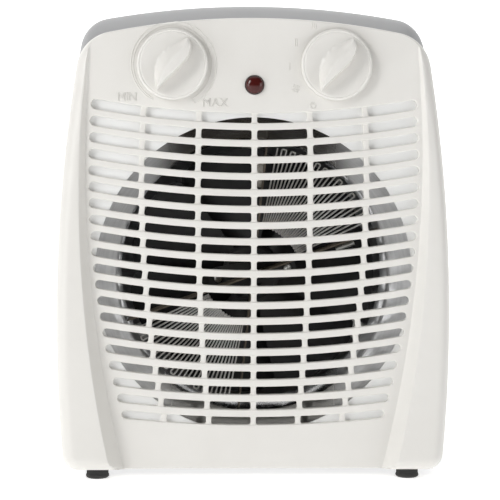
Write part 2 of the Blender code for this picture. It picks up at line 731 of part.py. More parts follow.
def make_thermal_guards(steel, ceramic):
    """The thermal cut-out on the steep board and the thermal fuse under the flat one."""
    y = BOARD_FRONT_Y + BOARD_DEPTH / 2
    cut_out = turned([(0.008, -0.0025), (0.008, 0.0025)], (0, 0, 0), 16)
    away = BOARD_SHEET / 2 + GAP + 0.0025
    bmesh.ops.transform(cut_out, matrix=Matrix.Rotation(math.pi / 2, 4, "X"), verts=cut_out.verts[:])
    bmesh.ops.translate(cut_out, vec=(0.062, y, OUTLET_Z + away), verts=cut_out.verts[:])
    make_object("thermal_cutout", turn_about_outlet(cut_out, BOARD_ANGLES[1]), ceramic)
    fuse = turned([(0.002, -0.006), (0.002, 0.006)], (0, 0, 0), 12)
    bmesh.ops.transform(fuse, matrix=Matrix.Rotation(math.pi / 2, 4, "Z"), verts=fuse.verts[:])
    away = BOARD_SHEET / 2 + GAP + 0.002
    bmesh.ops.translate(fuse, vec=(0.060, y, OUTLET_Z - away), verts=fuse.verts[:])
    make_object("thermal_fuse", turn_about_outlet(fuse, BOARD_ANGLES[0]), steel)


def at_fan_axis(profile, sides=24, bore=0.0):
    return turned(profile, (0, 0, OUTLET_Z), sides, bore=bore)


def make_fan(black, steel, core):
    rear = FAN_FRONT_Y + FAN_DEPTH
    wall = 0.002
    bore = SHAFT_RADIUS + GAP
    section = [
        (bore, FAN_FRONT_Y),
        (FAN_HUB - 0.002, FAN_FRONT_Y),
        (FAN_HUB, FAN_FRONT_Y + 0.002),
        (FAN_HUB, rear),
        (FAN_HUB - wall, rear),
        (FAN_HUB - wall, FAN_FRONT_Y + 0.006),
        (bore, FAN_FRONT_Y + 0.006),
    ]
    turns = [2 * math.pi * i / 28 for i in range(28)]
    rings = [[(r * math.cos(t), y, OUTLET_Z + r * math.sin(t)) for r, y in section] for t in turns]
    fan = make_object("fan_impeller", ring_solid(rings), black)
    blades = []
    thickness = 0.0016
    for blade in range(FAN_BLADES):
        grids = []
        for shift in (0.0, thickness):
            grid = []
            for radius in (FAN_HUB - wall / 2, FAN_RADIUS * 0.45, FAN_RADIUS * 0.75, FAN_RADIUS):
                row = []
                for share in (0.0, 1 / 3, 2 / 3, 1.0):
                    span = mix(BLADE_SPANS[0], BLADE_SPANS[1], radius / FAN_RADIUS)
                    turn = 2 * math.pi * blade / FAN_BLADES + span * (share - 0.5)
                    y = mix(FAN_FRONT_Y + 0.002, rear - thickness - 0.0005, share) + shift
                    row.append((radius * math.cos(turn), y, OUTLET_Z + radius * math.sin(turn)))
                grid.append(row)
            grids.append(grid)
        blades.append(slab(*grids))
    unite(fan, "blades", gathered(blades))
    shaft_rear = STATOR_FRONT_Y + STATOR_DEPTH + 0.014
    shaft = [(SHAFT_RADIUS, FAN_FRONT_Y - 0.003), (SHAFT_RADIUS, shaft_rear)]
    axle = make_object("motor_shaft", at_fan_axis(shaft, 16), steel)
    washer = [(0.004, FAN_FRONT_Y - GAP - 0.0015), (0.004, FAN_FRONT_Y - GAP)]
    clip = make_object("impeller_clip", at_fan_axis(washer, 16, bore), steel)
    stack = [(ROTOR_RADIUS, STATOR_FRONT_Y), (ROTOR_RADIUS, STATOR_FRONT_Y + STATOR_DEPTH)]
    rotor = make_object("rotor_core", at_fan_axis(stack, 24, bore), core)
    hang_on_axis("fan_spin", (0, 0, OUTLET_Z), (fan, axle, clip, rotor))


def make_motor(steel, core, copper, bronze):
    stator_rear = STATOR_FRONT_Y + STATOR_DEPTH
    leg_low = OUTLET_Z - 0.0445
    leg_high = leg_low + 0.012
    window_high = OUTLET_Z - 0.0165
    stack = box((-STATOR_HALF, STATOR_FRONT_Y, leg_low), (STATOR_HALF, stator_rear, OUTLET_Z + 0.020))
    stator = make_object("stator_core", stack, core)
    through = (STATOR_FRONT_Y - WALL, stator_rear + WALL)
    window_half = COIL_HALF + 0.0005
    cut(stator, "rotor_bore", at_fan_axis([(STATOR_BORE, through[0]), (STATOR_BORE, through[1])], 32))
    window = box((-window_half, through[0], leg_high), (window_half, through[1], window_high))
    cut(stator, "coil_window", window)

    thick = COIL_THICKNESS
    coil = []
    for x in (-COIL_HALF, COIL_HALF):
        inner = [(STATOR_FRONT_Y - GAP, leg_low - GAP), (stator_rear + GAP, leg_low - GAP)]
        inner += [(stator_rear + GAP, leg_high + GAP), (STATOR_FRONT_Y - GAP, leg_high + GAP)]
        spread = [(-thick, -thick), (thick, -thick), (thick, thick), (-thick, thick)]
        coil.append([[(x, y, z), (x, y + dy, z + dz)] for (y, z), (dy, dz) in zip(inner, spread)])
    sections = [[near[0], near[1], far[1], far[0]] for near, far in zip(coil[0], coil[1])]
    make_object("stator_coil", ring_solid(sections), copper)

    plate_front = DUCT_REAR_Y + GAP
    plate_rear = plate_front + BRACKET_SHEET
    disc = at_fan_axis([(BRACKET_DISC, plate_front), (BRACKET_DISC, plate_rear)], 24)
    bracket = make_object("motor_bracket", disc, steel)
    for place in bracket_screw_places():
        angle = math.atan2(place[2] - OUTLET_Z, place[0])
        arm = box((0.020, plate_front, OUTLET_Z - 0.006), (FLANGE_RADIUS, plate_rear, OUTLET_Z + 0.006))
        unite(bracket, "bracket_arm", turn_about_outlet(arm, angle))
    for place in bracket_screw_places():
        hole = [(SCREW_RADIUS + GAP, plate_front - WALL), (SCREW_RADIUS + GAP, plate_rear + WALL)]
        cut(bracket, "arm_hole", turned(hole, place, 12))
    cut(bracket, "bracket_bore", at_fan_axis([(0.008, plate_front - WALL), (0.008, plate_rear + WALL)], 24))
    for number, place in enumerate(bracket_screw_places(), 1):
        profile = [
            (SCREW_RADIUS, DUCT_REAR_Y - 0.004),
            (SCREW_RADIUS, plate_rear + GAP),
            (0.0027, plate_rear + GAP),
            (0.0027, plate_rear + GAP + 0.002),
        ]
        make_object(f"bracket_screw_{number}", turned(profile, place, 12), steel)

    front_bar = plate_rear + GAP
    rear_bar = stator_rear + 0.009
    bars = (
        ("front_bearing", front_bar, (front_bar + BAR_THICKNESS - GAP, STATOR_FRONT_Y - GAP)),
        ("rear_bearing", rear_bar, (stator_rear + GAP, rear_bar + GAP)),
    )
    screw_hole = SCREW_RADIUS + 2 * GAP
    for name, low_y, posts in bars:
        high_y = low_y + BAR_THICKNESS
        low = (-BAR_HALF, low_y, OUTLET_Z - BAR_HALF_HEIGHT)
        high = (BAR_HALF, high_y, OUTLET_Z + BAR_HALF_HEIGHT)
        bar = make_object(f"{name}_bracket", box(low, high), core)
        for side in (-1, 1):
            place = (side * MOTOR_SCREW_X, 0, OUTLET_Z)
            unite(bar, "bar_post", turned([(0.0036, posts[0]), (0.0036, posts[1])], place, 14))
        for side in (-1, 1):
            place = (side * MOTOR_SCREW_X, 0, OUTLET_Z)
            hole = [(screw_hole, posts[0] - 0.006), (screw_hole, posts[1] + 0.006)]
            cut(bar, "bar_hole", turned(hole, place, 12))
        seat = [(BUSH_RADIUS + GAP, low_y - WALL), (BUSH_RADIUS + GAP, high_y + WALL)]
        cut(bar, "bush_seat", at_fan_axis(seat, 20))
        bush = [(BUSH_RADIUS, low_y - 0.001), (BUSH_RADIUS, high_y + 0.001)]
        make_object(name, at_fan_axis(bush, 20, SHAFT_RADIUS + GAP), bronze)

    nut_front = rear_bar + BAR_THICKNESS + GAP
    for number, side in enumerate((-1, 1), 1):
        place = (side * MOTOR_SCREW_X, 0, OUTLET_Z)
        hole = [(screw_hole, 0), (screw_hole, plate_rear + WALL)]
        cut(bracket, "motor_screw_hole", turned(hole, place, 12))
        cut(stator, "stator_hole", turned([(screw_hole, through[0]), (screw_hole, through[1])], place, 12))
        head = plate_front - GAP
        profile = [
            (0.0030, head - 0.0022),
            (0.0030, head),
            (SCREW_RADIUS, head),
            (SCREW_RADIUS, nut_front + 0.004),
        ]
        make_object(f"motor_screw_{number}", turned(profile, place, 12), steel)
        nut = [(0.0034, nut_front), (0.0034, nut_front + 0.0026)]
        make_object(f"motor_nut_{number}", turned(nut, place, 6, bore=SCREW_RADIUS + GAP), steel)


def make_controls(white, black, brass, red):
    back = panel_y(KNOB_X, KNOB_Z) + PLATE
    skirt_rear = panel_y(KNOB_X, KNOB_Z + KNOB_RADIUS) - GAP
    blind = SPINDLE_RADIUS + GAP
    for body, spindle, knob, x in (
        ("thermostat_body", "thermostat_spindle", "thermostat_knob", -KNOB_X),
        ("switch_body", "switch_spindle", "function_knob", KNOB_X),
    ):
        axis = (x, 0, KNOB_Z)
        half = (0.015, 0.012) if x < 0 else (0.013, 0.013)
        low = (x - half[0], back + 2 * GAP, KNOB_Z - half[1])
        high = (x + half[0], back + 2 * GAP + 0.017, KNOB_Z + half[1])
        case = make_object(body, box(low, high), black)
        spindle_rear = low[1] + 0.009
        socket = [(blind, low[1] - WALL), (blind, spindle_rear + GAP)]
        cut(case, "spindle_socket", turned(socket, axis, 16))
        spindle_front = KNOB_FRONT_Y + 0.0035
        shape = turned([(SPINDLE_RADIUS, spindle_front), (SPINDLE_RADIUS, spindle_rear)], axis, 16)
        rod = make_object(spindle, shape, brass)

        face = skirt_rear - 0.0040
        skirt = [
            (KNOB_RADIUS, skirt_rear),
            (KNOB_RADIUS, face + 0.0012),
            (KNOB_RADIUS - 0.0012, face),
        ]
        made = make_object(knob, turned(skirt, axis, 36), white)
        unite(made, "knob_ridge", ridge(x, face + 0.001))
        bore = [(blind, spindle_front - GAP), (blind, skirt_rear + WALL)]
        cut(made, "knob_bore", turned(bore, axis, 16))
        hang_on_axis(f"{knob}_turn", axis, (made, rod))

    lamp_back = panel_y(0, LAMP_Z) + PLATE
    front = panel_y(0, LAMP_Z)
    lens = [
        (LAMP_RADIUS * 0.45, front - 0.0036),
        (LAMP_RADIUS * 0.80, front - 0.0026),
        (LAMP_RADIUS, front - 0.0004),
        (LAMP_RADIUS, lamp_back + 2 * GAP),
        (0.007, lamp_back + 2 * GAP),
        (0.007, lamp_back + 0.0018),
    ]
    make_object("lamp_lens", turned(lens, (0, 0, LAMP_Z), 24), red)
    holder = [(0.005, lamp_back + 0.0018 + GAP), (0.005, lamp_back + 0.018)]
    make_object("lamp_body", turned(holder, (0, 0, LAMP_Z), 16), black)


def ridge(x, rear_y):
    """The knob's S-shaped grip: a full curve on one side, a steep S on the other, towards RIDGE_ANGLE."""
    along = Vector((math.cos(RIDGE_ANGLE), math.sin(RIDGE_ANGLE)))
    across = Vector((along.y, -along.x))
    length = KNOB_RADIUS * 0.857
    shares = [i / 8 for i in range(9)]
    full = [max(math.sin(math.pi * s**1.05), 0.03) ** 0.8 for s in shares]
    steep = [max(math.sin(math.pi * s**0.53), 0.03) ** 1.3 for s in shares]
    outlines = []
    for y, shrink in ((rear_y, 1.0), (KNOB_FRONT_Y, 0.62)):
        places = [along * length * (2 * s - 1) for s in shares]
        left = [p + across * KNOB_RADIUS * 0.42 * shrink * wide for p, wide in zip(places, full)]
        right = [p - across * KNOB_RADIUS * 0.30 * wide for p, wide in zip(places, steep)]
        outlines.append([(x + p.x, y, KNOB_Z + p.y) for p in left + right[::-1]])
    return loft(outlines)


def make_heater():
    for old in list(bpy.data.objects):
        bpy.data.objects.remove(old, do_unlink=True)
    white = make_material("white_plastic", (0.80, 0.79, 0.76), 0.38)
    grey = make_material("grey_plastic", (0.38, 0.38, 0.38), 0.45)
    black = make_material("black_plastic", (0.02, 0.02, 0.02), 0.5)
    rubber = make_material("black_rubber", (0.015, 0.015, 0.015), 0.75)
    steel = make_material("zinc_steel", (0.60, 0.60, 0.60), 0.35, 1.0)
    sheet = make_material("bright_sheet", (0.78, 0.78, 0.79), 0.18, 1.0)
    ribbon = make_material("resistance_ribbon", (0.45, 0.44, 0.43), 0.35, 1.0)
    mica = make_material("mica", (0.16, 0.13, 0.10), 0.6)
    ceramic = make_material("ceramic_case", (0.55, 0.52, 0.46), 0.6)
    core = make_material("lamination_steel", (0.18, 0.18, 0.19), 0.5, 1.0)
    copper = make_material("enamelled_copper", (0.55, 0.22, 0.10), 0.4, 1.0)
    bronze = make_material("bronze", (0.50, 0.36, 0.18), 0.4, 1.0)
    brass = make_material("brass", (0.65, 0.50, 0.22), 0.35, 1.0)
    red = make_material("red_lens", (0.16, 0.01, 0.01), 0.12)
    make_front_shell(white)
    make_rear_shell(grey)
    make_gland(black)
    make_feet(rubber)
    make_shell_screws(steel)
    make_duct(sheet)
    make_mica_boards(mica)
    make_elements(ribbon)
    make_element_clamp(black, steel)
    make_thermal_guards(steel, ceramic)
    make_fan(black, steel, core)
    make_motor(steel, core, copper, bronze)
    make_controls(white, black, brass, red)


make_heater()
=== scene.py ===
"""Looks of the upright fan heater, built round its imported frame. Each section below makes one piece, or a
group of like pieces, in the order in which the heater is put together."""

import math

import bmesh
import bpy
import numpy as np
from mathutils import Matrix, Vector
from mathutils.geometry import delaunay_2d_cdt
from mathutils.kdtree import KDTree


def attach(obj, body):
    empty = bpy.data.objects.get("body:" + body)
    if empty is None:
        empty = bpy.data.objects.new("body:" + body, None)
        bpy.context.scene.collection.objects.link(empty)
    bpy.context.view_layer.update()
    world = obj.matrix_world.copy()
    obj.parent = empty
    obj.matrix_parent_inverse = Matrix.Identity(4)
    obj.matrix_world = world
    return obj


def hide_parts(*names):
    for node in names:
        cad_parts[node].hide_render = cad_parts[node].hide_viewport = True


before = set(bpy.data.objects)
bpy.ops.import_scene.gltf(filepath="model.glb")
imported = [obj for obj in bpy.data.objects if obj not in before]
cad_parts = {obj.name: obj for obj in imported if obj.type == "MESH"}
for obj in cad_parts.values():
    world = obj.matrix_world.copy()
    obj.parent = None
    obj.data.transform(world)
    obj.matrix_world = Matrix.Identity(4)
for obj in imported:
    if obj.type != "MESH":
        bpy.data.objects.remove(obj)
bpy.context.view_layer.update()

# ---- Studio -------------------------------------------------------------------------------------
# A pale floor that bends up into a backdrop, soft boxes from the left (one high, one low), the right and
# above, one for the backdrop alone, and a long lens a little above the knobs.
AIM = Vector((-0.0025, -0.062, 0.142))
DISTANCE = 0.985
AZIMUTH = math.radians(-1.6)
ELEVATION = math.radians(3.6)
ROLL = math.radians(0.15)

lens = bpy.data.cameras.new("camera")
lens.lens = 117.4
lens.sensor_width = 36.0
lens.clip_end = 20.0
camera = bpy.data.objects.new("camera", lens)
bpy.context.scene.collection.objects.link(camera)
away = Vector(
    (
        math.sin(AZIMUTH) * math.cos(ELEVATION),
        -math.cos(AZIMUTH) * math.cos(ELEVATION),
        math.sin(ELEVATION),
    )
)
camera.location = AIM + away * DISTANCE
turned_to_aim = (-away).to_track_quat("-Z", "Y")
camera.rotation_mode = "QUATERNION"
camera.rotation_quaternion = turned_to_aim @ Matrix.Rotation(ROLL, 3, "Z").to_quaternion()
bpy.context.scene.camera = camera


class Wire:
    """A node's socket. Arithmetic on it adds Math nodes to its tree."""

    def __init__(self, socket):
        self.socket = socket

    def reckoned(self, operation, first, second=None, third=None):
        tree = self.socket.id_data
        made = tree.nodes.new("ShaderNodeMath")
        made.operation = operation
        for place, value in enumerate((first, second, third)):
            if isinstance(value, Wire):
                tree.links.new(value.socket, made.inputs[place])
            elif value is not None:
                made.inputs[place].default_value = value
        return Wire(made.outputs[0])

    def __add__(self, other):
        return self.reckoned("ADD", self, other)

    def __radd__(self, other):
        return self.reckoned("ADD", other, self)

    def __sub__(self, other):
        return self.reckoned("SUBTRACT", self, other)

    def __rsub__(self, other):
        return self.reckoned("SUBTRACT", other, self)

    def __mul__(self, other):
        return self.reckoned("MULTIPLY", self, other)

    def __rmul__(self, other):
        return self.reckoned("MULTIPLY", other, self)

    def __truediv__(self, other):
        return self.reckoned("DIVIDE", self, other)

    def step(self, low, high):
        """0 below low, 1 above high, and a smooth rise between them."""
        share = self.reckoned("MULTIPLY", self - low, 1.0 / (high - low))
        share.socket.node.use_clamp = True
        return share * share * (3.0 - 2.0 * share)


class Tree:
    """A node tree, for a material or for Geometry Nodes."""

    def __init__(self, tree):
        self.tree = tree

    def node(self, kind, settings=None, values=None, out=0):
        made = self.tree.nodes.new(kind)
        for name, value in (settings or {}).items():
            setattr(made, name, value)
        for name, value in (values or {}).items():
            if isinstance(value, Wire):
                self.tree.links.new(value.socket, made.inputs[name])
            else:
                made.inputs[name].default_value = value
        return Wire(made.outputs[out]) if len(made.outputs) else made

    def mixed(self, share, first, second):
        """A colour between two others."""
        colours = {0: share, 6: first, 7: second}
        for place in (6, 7):
            if not isinstance(colours[place], Wire):
                colours[place] = (*colours[place], 1.0)
        return self.node("ShaderNodeMix", {"data_type": "RGBA"}, colours, out=2)


    def vector(self, x=0.0, y=0.0, z=0.0):
        return self.node("ShaderNodeCombineXYZ", values={"X": x, "Y": y, "Z": z})

    def moved(self, shape, **values):
        return self.node("GeometryNodeTransform", values={"Geometry": shape, **values})


class Finish(Tree):
    """A material whose pattern lies in object coordinates."""

    def __init__(self, name):
        self.material = bpy.data.materials.new(name)
        self.material.use_nodes = True
        super().__init__(self.material.node_tree)
        self.tree.nodes.clear()
        self.place = self.node("ShaderNodeTexCoord", out=3)

    def part(self, number):
        """The x (0), y (1) or z (2) of the place."""
        return self.node("ShaderNodeSeparateXYZ", values={"Vector": self.place}, out=number)

    def stretched(self, scale):
        return self.node("ShaderNodeMapping", values={"Vector": self.place, "Scale": scale})

    def noise(self, scale, detail=2.0, place=None, distortion=0.0):
        values = {"Vector": place or self.place, "Scale": scale, "Detail": detail, "Distortion": distortion}
        return self.node("ShaderNodeTexNoise", values=values)

    def bump(self, height, distance, strength=1.0):
        values = {"Height": height, "Distance": distance, "Strength": strength}
        return self.node("ShaderNodeBump", values=values)

    def surface(self, **values):
        """Ends the tree in a Principled shader; an underscore stands for a space in a socket's name."""
        named = {name.replace("_", " "): value for name, value in values.items()}
        if isinstance(named.get("Base Color"), tuple):
            named["Base Color"] = (*named["Base Color"], 1.0)
        shader = self.node("ShaderNodeBsdfPrincipled", values=named)
        self.node("ShaderNodeOutputMaterial", values={"Surface": shader})
        return self.material


def linked_object(name, mesh, material=None):
    made = bpy.data.objects.new(name, mesh)
    bpy.context.scene.collection.objects.link(made)
    if material:
        mesh.materials.clear()
        mesh.materials.append(material)
    return made


paper = Finish("backdrop_paper")
paper_tone = paper.mixed(paper.noise(3.0), (0.86, 0.86, 0.86), (0.90, 0.90, 0.90))
backdrop_paper = paper.surface(
    Base_Color=paper_tone,
    Roughness=0.75,
    Emission_Color=(1.0, 1.0, 1.0, 1.0),
    Emission_Strength=0.55,
    Normal=paper.bump(paper.noise(900.0), 0.0001, 0.3),
)
sweep = bmesh.new()
bend = 0.7
bend_start = 1.1
profile = [(-3.0, 0.0)]
for turn in np.linspace(0, math.pi / 2, 17):
    profile.append((bend_start + bend * math.sin(turn), bend - bend * math.cos(turn)))
profile += [(bend_start + bend, 3.5)]
rows = [[sweep.verts.new((x, y, z)) for x in (-4.0, 4.0)] for y, z in profile]
for low, high in zip(rows, rows[1:]):
    sweep.faces.new((low[0], low[1], high[1], high[0]))
mesh = bpy.data.meshes.new("backdrop")
sweep.to_mesh(mesh)
sweep.free()
mesh.shade_smooth()
linked_object("backdrop", mesh, backdrop_paper)

world = bpy.data.worlds.new("studio")
world.use_nodes = True
world.node_tree.nodes["Background"].inputs["Color"].default_value = (1.0, 1.0, 1.0, 1.0)
world.node_tree.nodes["Background"].inputs["Strength"].default_value = 0.14
bpy.context.scene.world = world
bpy.context.scene.view_settings.view_transform = "Standard"


def soft_box(name, place, aim, size, power):
    light = bpy.data.lights.new(name, "AREA")
    light.shape = "RECTANGLE"
    light.size, light.size_y = size
    light.energy = power
    made = bpy.data.objects.new(name, light)
    made.location = place
    made.rotation_euler = (Vector(aim) - Vector(place)).to_track_quat("-Z", "Y").to_euler()
    bpy.context.scene.collection.objects.link(made)


heart = (0.0, 0.0, 0.14)
soft_box("left_box", (-1.25, -1.15, 1.0), heart, (0.55, 0.7), 12.0)
soft_box("low_left_box", (-1.7, -1.1, 0.22), heart, (0.8, 0.9), 7.5)
soft_box("right_box", (1.7, -1.1, 0.30), heart, (0.8, 0.9), 6.5)
soft_box("top_box", (-0.1, -0.2, 1.5), heart, (1.2, 0.9), 2.2)
soft_box("paper_box", (0.0, 0.9, 2.2), (0.0, 1.7, 0.6), (2.4, 0.8), 22.0)

# ---- Front shell --------------------------------------------------------------------------------
# One moulding in white ABS with a satin face: two legs that widen downwards, the sunk panel between them
# that leans back, and twenty curved slots. The ribs and the blind floors are sections of their own.
WIDTH = 0.240
HEIGHT = 0.292
FRONT_Y = -0.064
REAR_Y = 0.070
SEAM_Y = -0.038
GAP = 0.0003
WALL = 0.0025
WIDEST_Z = 0.095
FOOT_HEIGHT = 0.0065
FLANK_RADIUS = (0.975, 1.150)  # of the front shell and of the rear one
TOP_Z = (0.2817, HEIGHT)
TOP_RADIUS = (0.445, 0.520)
SHOULDER = (0.024, 0.020)
BOTTOM_CORNER = 0.010
FRONT_ROUND = (0.008, 0.0105)  # rounding of the front edge, inwards and in depth
PLATE = 0.0028
BAR_DEPTH = 0.0040
PANEL_HALF = 0.1022
PANEL_WIDEST_Z = 0.190
PANEL_SIDE_RADIUS = 0.760
RECESS_TOP = 0.0012
RECESS_BOTTOM = 0.0120
RECESS_DRAFT = 0.59
PANEL_CROWN = 0.004
SLOT_ROWS = 20
SLOT_FLATTER_ROW = 15  # from here downwards the slots are less curved
SLOT_BENDS = (1 / 0.550, 1 / 0.770)
SLOT_TOP_Z = 0.2243
SLOT_PITCH = 0.01010
SLOT_HEIGHT = 0.0059
SLOT_ENDS_RADIUS = 0.525
SLOT_WIDEST_Z = 0.185
SLOT_HALF = 0.100
SLOT_EDGE = 0.0007  # rounding of the bars' front edges
OUTLET_Z = 0.1252
OUTLET_RADIUS = 0.0968
KNOB_X = 0.0492
KNOB_Z = 0.2534
KNOB_RADIUS = 0.0213
LAMP_Z = 0.2413
LAMP_RADIUS = 0.0055


def between(first, second, share):
    return first + (second - first) * share


class Outline:
    """The shells' closed outline, seen from the front. Share 0 is the front shell's, 1 the rear one's."""

    def __init__(self, share, top_share=1.0):
        self.flank = between(*FLANK_RADIUS, share)
        self.top_radius = between(*TOP_RADIUS, share)
        self.shoulder = between(*SHOULDER, share)
        self.side = (WIDTH / 2 - self.flank, WIDEST_Z)
        self.top = (0.0, between(*TOP_Z, share) - self.top_radius)
        self.top_share = top_share
        low_z = FOOT_HEIGHT + BOTTOM_CORNER
        reach = self.flank - BOTTOM_CORNER
        self.low = (self.side[0] + math.sqrt(reach**2 - (low_z - WIDEST_Z) ** 2), low_z)
        self.low_turn = self.turn_to(self.side, self.low)

    @staticmethod
    def turn_to(centre, point):
        return np.arctan2(point[1] - centre[1], point[0] - centre[0])

    def high(self, rounding):
        """Centre of the shoulder's arc once the outline has shrunk by the rounding of the front edge."""
        side_reach = self.flank - self.shoulder
        top_reach = self.top_radius - self.shoulder + rounding * (1 - self.top_share)
        span = math.dist(self.side, self.top)
        along = (side_reach**2 - top_reach**2 + span**2) / (2 * span)
        height = np.sqrt(side_reach**2 - along**2)
        way = ((self.top[0] - self.side[0]) / span, (self.top[1] - self.side[1]) / span)
        x = self.side[0] + way[0] * along - way[1] * height
        return x, self.side[1] + way[1] * along + way[0] * height

    def points(self, inset=0.0, rounding=0.0):
        high = self.high(rounding)
        high_turn = self.turn_to(self.side, high)
        top_turn = self.turn_to(self.top, high)
        top_radius = self.top_radius - inset - rounding * self.top_share
        inset += rounding
        half = [(0.0, FOOT_HEIGHT + inset)]
        half += [(self.low[0] * i / 22, FOOT_HEIGHT + inset) for i in range(1, 22)]
        stretches = (
            (self.low, BOTTOM_CORNER - inset, -math.pi / 2, self.low_turn, 8),
            (self.side, self.flank - inset, self.low_turn, high_turn, 52),
            (high, self.shoulder - inset, high_turn, top_turn, 14),
            (self.top, top_radius, top_turn, math.pi / 2, 26),
        )
        for number, (centre, radius, start, end, steps) in enumerate(stretches):
            for i in range(1 if number else 0, steps + 1):
                turn = between(start, end, i / steps)
                half.append((centre[0] + radius * math.cos(turn), centre[1] + radius * math.sin(turn)))
        return half + [(-x, z) for x, z in half[-2:0:-1]]

    def reach(self, x, z, rounding):
        """How far a point lies inside the outline shrunk by the rounding."""
        flank = self.flank - np.hypot(x - self.side[0], z - self.side[1])
        reach = np.minimum(z - FOOT_HEIGHT, flank) - rounding
        top = self.top_radius - rounding * self.top_share - np.hypot(x, z - self.top[1])
        reach = np.minimum(reach, top)
        high = self.high(rounding)
        corners = (
            (high, self.shoulder, self.turn_to(self.side, high), self.turn_to(self.top, high)),
            (self.low, BOTTOM_CORNER, -math.pi / 2, self.low_turn),
        )
        for centre, radius, start, end in corners:
            turn = np.arctan2(z - centre[1], x - centre[0])
            inside = (turn > start) & (turn < end)
            corner = radius - rounding - np.hypot(x - centre[0], z - centre[1])
            reach = np.where(inside, np.minimum(reach, corner), reach)
        return reach

    def skin(self, x, z, aside):
        """Points moved inwards across the outline by aside."""
        step = 1e-4
        slope_x = self.inward(x + step, z) - self.inward(x - step, z)
        slope_z = self.inward(x, z + step) - self.inward(x, z - step)
        length = np.maximum(np.hypot(slope_x, slope_z), 1e-9)
        return x + slope_x / length * aside, z + slope_z / length * aside

    def inward(self, x, z, most=0.014):
        """The rounding at which the shrunk outline passes through a point, at most the given one."""
        x = np.abs(np.asarray(x, float))
        z = np.asarray(z, float) + 0 * x
        low = np.zeros_like(x)
        high = np.full_like(x, most)
        for _ in range(26):
            middle = (low + high) / 2
            inside = self.reach(x, z, middle) > 0
            low = np.where(inside, middle, low)
            high = np.where(inside, high, middle)
        return (low + high) / 2


def soft_max(first, second, width):
    blend = np.maximum(width - np.abs(first - second), 0) / width
    return np.maximum(first, second) + blend**2 * width / 4


def soft_min(first, second, width):
    return -soft_max(-first, -second, width)


def panel_half(z):
    return PANEL_HALF - PANEL_SIDE_RADIUS + np.sqrt(PANEL_SIDE_RADIUS**2 - (z - PANEL_WIDEST_Z) ** 2)


def recess(z):
    return between(RECESS_TOP, RECESS_BOTTOM, (TOP_Z[0] - z) / (TOP_Z[0] - FOOT_HEIGHT))


def panel_y(x, z):
    middle = (FOOT_HEIGHT + KNOB_Z + KNOB_RADIUS / 2) / 2
    across = np.maximum(0.0, 1 - (x / panel_half(z)) ** 2)
    upward = np.maximum(0.0, 1 - ((z - middle) / (middle - FOOT_HEIGHT)) ** 2)
    return FRONT_Y + recess(z) - PANEL_CROWN * across * upward


TOP_SHARE = 0.2  # of the front edge's rounding that is left along the top
front_outline = Outline(0.0, TOP_SHARE)


def front_face_y(x, z):
    """The whole front face: legs with a rounded edge, slanted inner walls and the sunk panel."""
    inwards, depth = FRONT_ROUND
    reach = np.clip(front_outline.inward(x, z, inwards), 0.0, inwards)
    leg = FRONT_Y + depth * (1 - np.sqrt(np.clip(1 - (1 - reach / inwards) ** 2, 0.0, 1.0)))
    wall = FRONT_Y + recess(z) - (np.abs(x) - panel_half(z)) / RECESS_DRAFT
    sunk = soft_min(panel_y(x, z), wall, 0.0012)
    lip = 0.0008
    near_edge = np.clip(front_outline.inward(x, z), 0.0, lip)
    rolled = sunk + lip - np.sqrt(np.maximum(lip**2 - (lip - near_edge) ** 2, 0.0))
    return soft_max(leg, np.where(z < 0.02, rolled, sunk), 0.0009)


def inside_loop(loop, points):
    """Which of the points lie inside a closed loop."""
    loop = np.asarray(loop)
    found = np.zeros(len(points), bool)
    low = loop.min(axis=0)
    high = loop.max(axis=0)
    near = np.nonzero(((points >= low) & (points <= high)).all(axis=1))[0]
    x = points[near, 0]
    z = points[near, 1]
    odd = np.zeros(len(near), bool)
    for (x1, z1), (x2, z2) in zip(loop, np.roll(loop, -1, axis=0)):
        if z1 == z2:
            continue
        crossing = ((z1 > z) != (z2 > z)) & (x < (x2 - x1) * (z - z1) / (z2 - z1) + x1)
        odd ^= crossing
    found[near] = odd
    return found


def filled(rim, holes, lines, spacing):
    """Triangles inside a rim and outside its holes, kept to the lines. Gives the flat points, the triangles,
    and for the rim and each hole the list of its points' numbers."""
    points = []
    edges = []
    rings = []
    for closed, loop in [(True, rim)] + [(True, hole) for hole in holes] + lines:
        start = len(points)
        points += [tuple(place) for place in loop]
        edges += [(i, i + 1) for i in range(start, len(points) - 1)]
        if closed:
            edges.append((len(points) - 1, start))
        rings.append(range(start, len(points)))
    tree = KDTree(len(points))
    for i, (x, z) in enumerate(points):
        tree.insert((x, z, 0.0), i)
    tree.balance()
    low = np.min(rim, axis=0)
    high = np.max(rim, axis=0)
    row = 0
    z = low[1] + spacing / 2
    while z < high[1]:
        x = low[0] + spacing * (0.25 if row % 2 else 0.75)
        while x < high[0]:
            if tree.find((x, z, 0.0))[2] > spacing * 0.45:
                points.append((x, z))
            x += spacing
        z += spacing * 0.87
        row += 1
    flat = [Vector(place) for place in points]
    flat, _, faces, origins = delaunay_2d_cdt(flat, edges, [], 0, 1e-7, True)[:4]
    place_of = {old: new for new, olds in enumerate(origins) for old in olds}
    flat = np.array([tuple(place) for place in flat])
    faces = np.array([list(face) for face in faces])
    centres = flat[faces].mean(axis=1)
    kept = inside_loop(rim, centres)
    for hole in holes:
        kept &= ~inside_loop(hole, centres)
    rings = [[place_of[i] for i in ring] for ring in rings[: 1 + len(holes)]]
    return flat, faces[kept], rings


class Hole:
    """An opening in a shell's face. loop(grow) gives its outline, grown outwards, always as many points.
    steps are (grow, depth) from the face inwards; floor closes it there, with a wall of that thickness."""

    def __init__(self, loop, edge, depth, floor=0.0, middle=()):
        turns = [math.radians(a) for a in (22.5, 45, 67.5, 90)]
        self.loop = loop
        self.edge = edge
        self.steps = [(edge * (1 - math.sin(t)), edge * (1 - math.cos(t))) for t in turns]
        self.steps += list(middle)
        self.depth = depth
        self.floor = floor


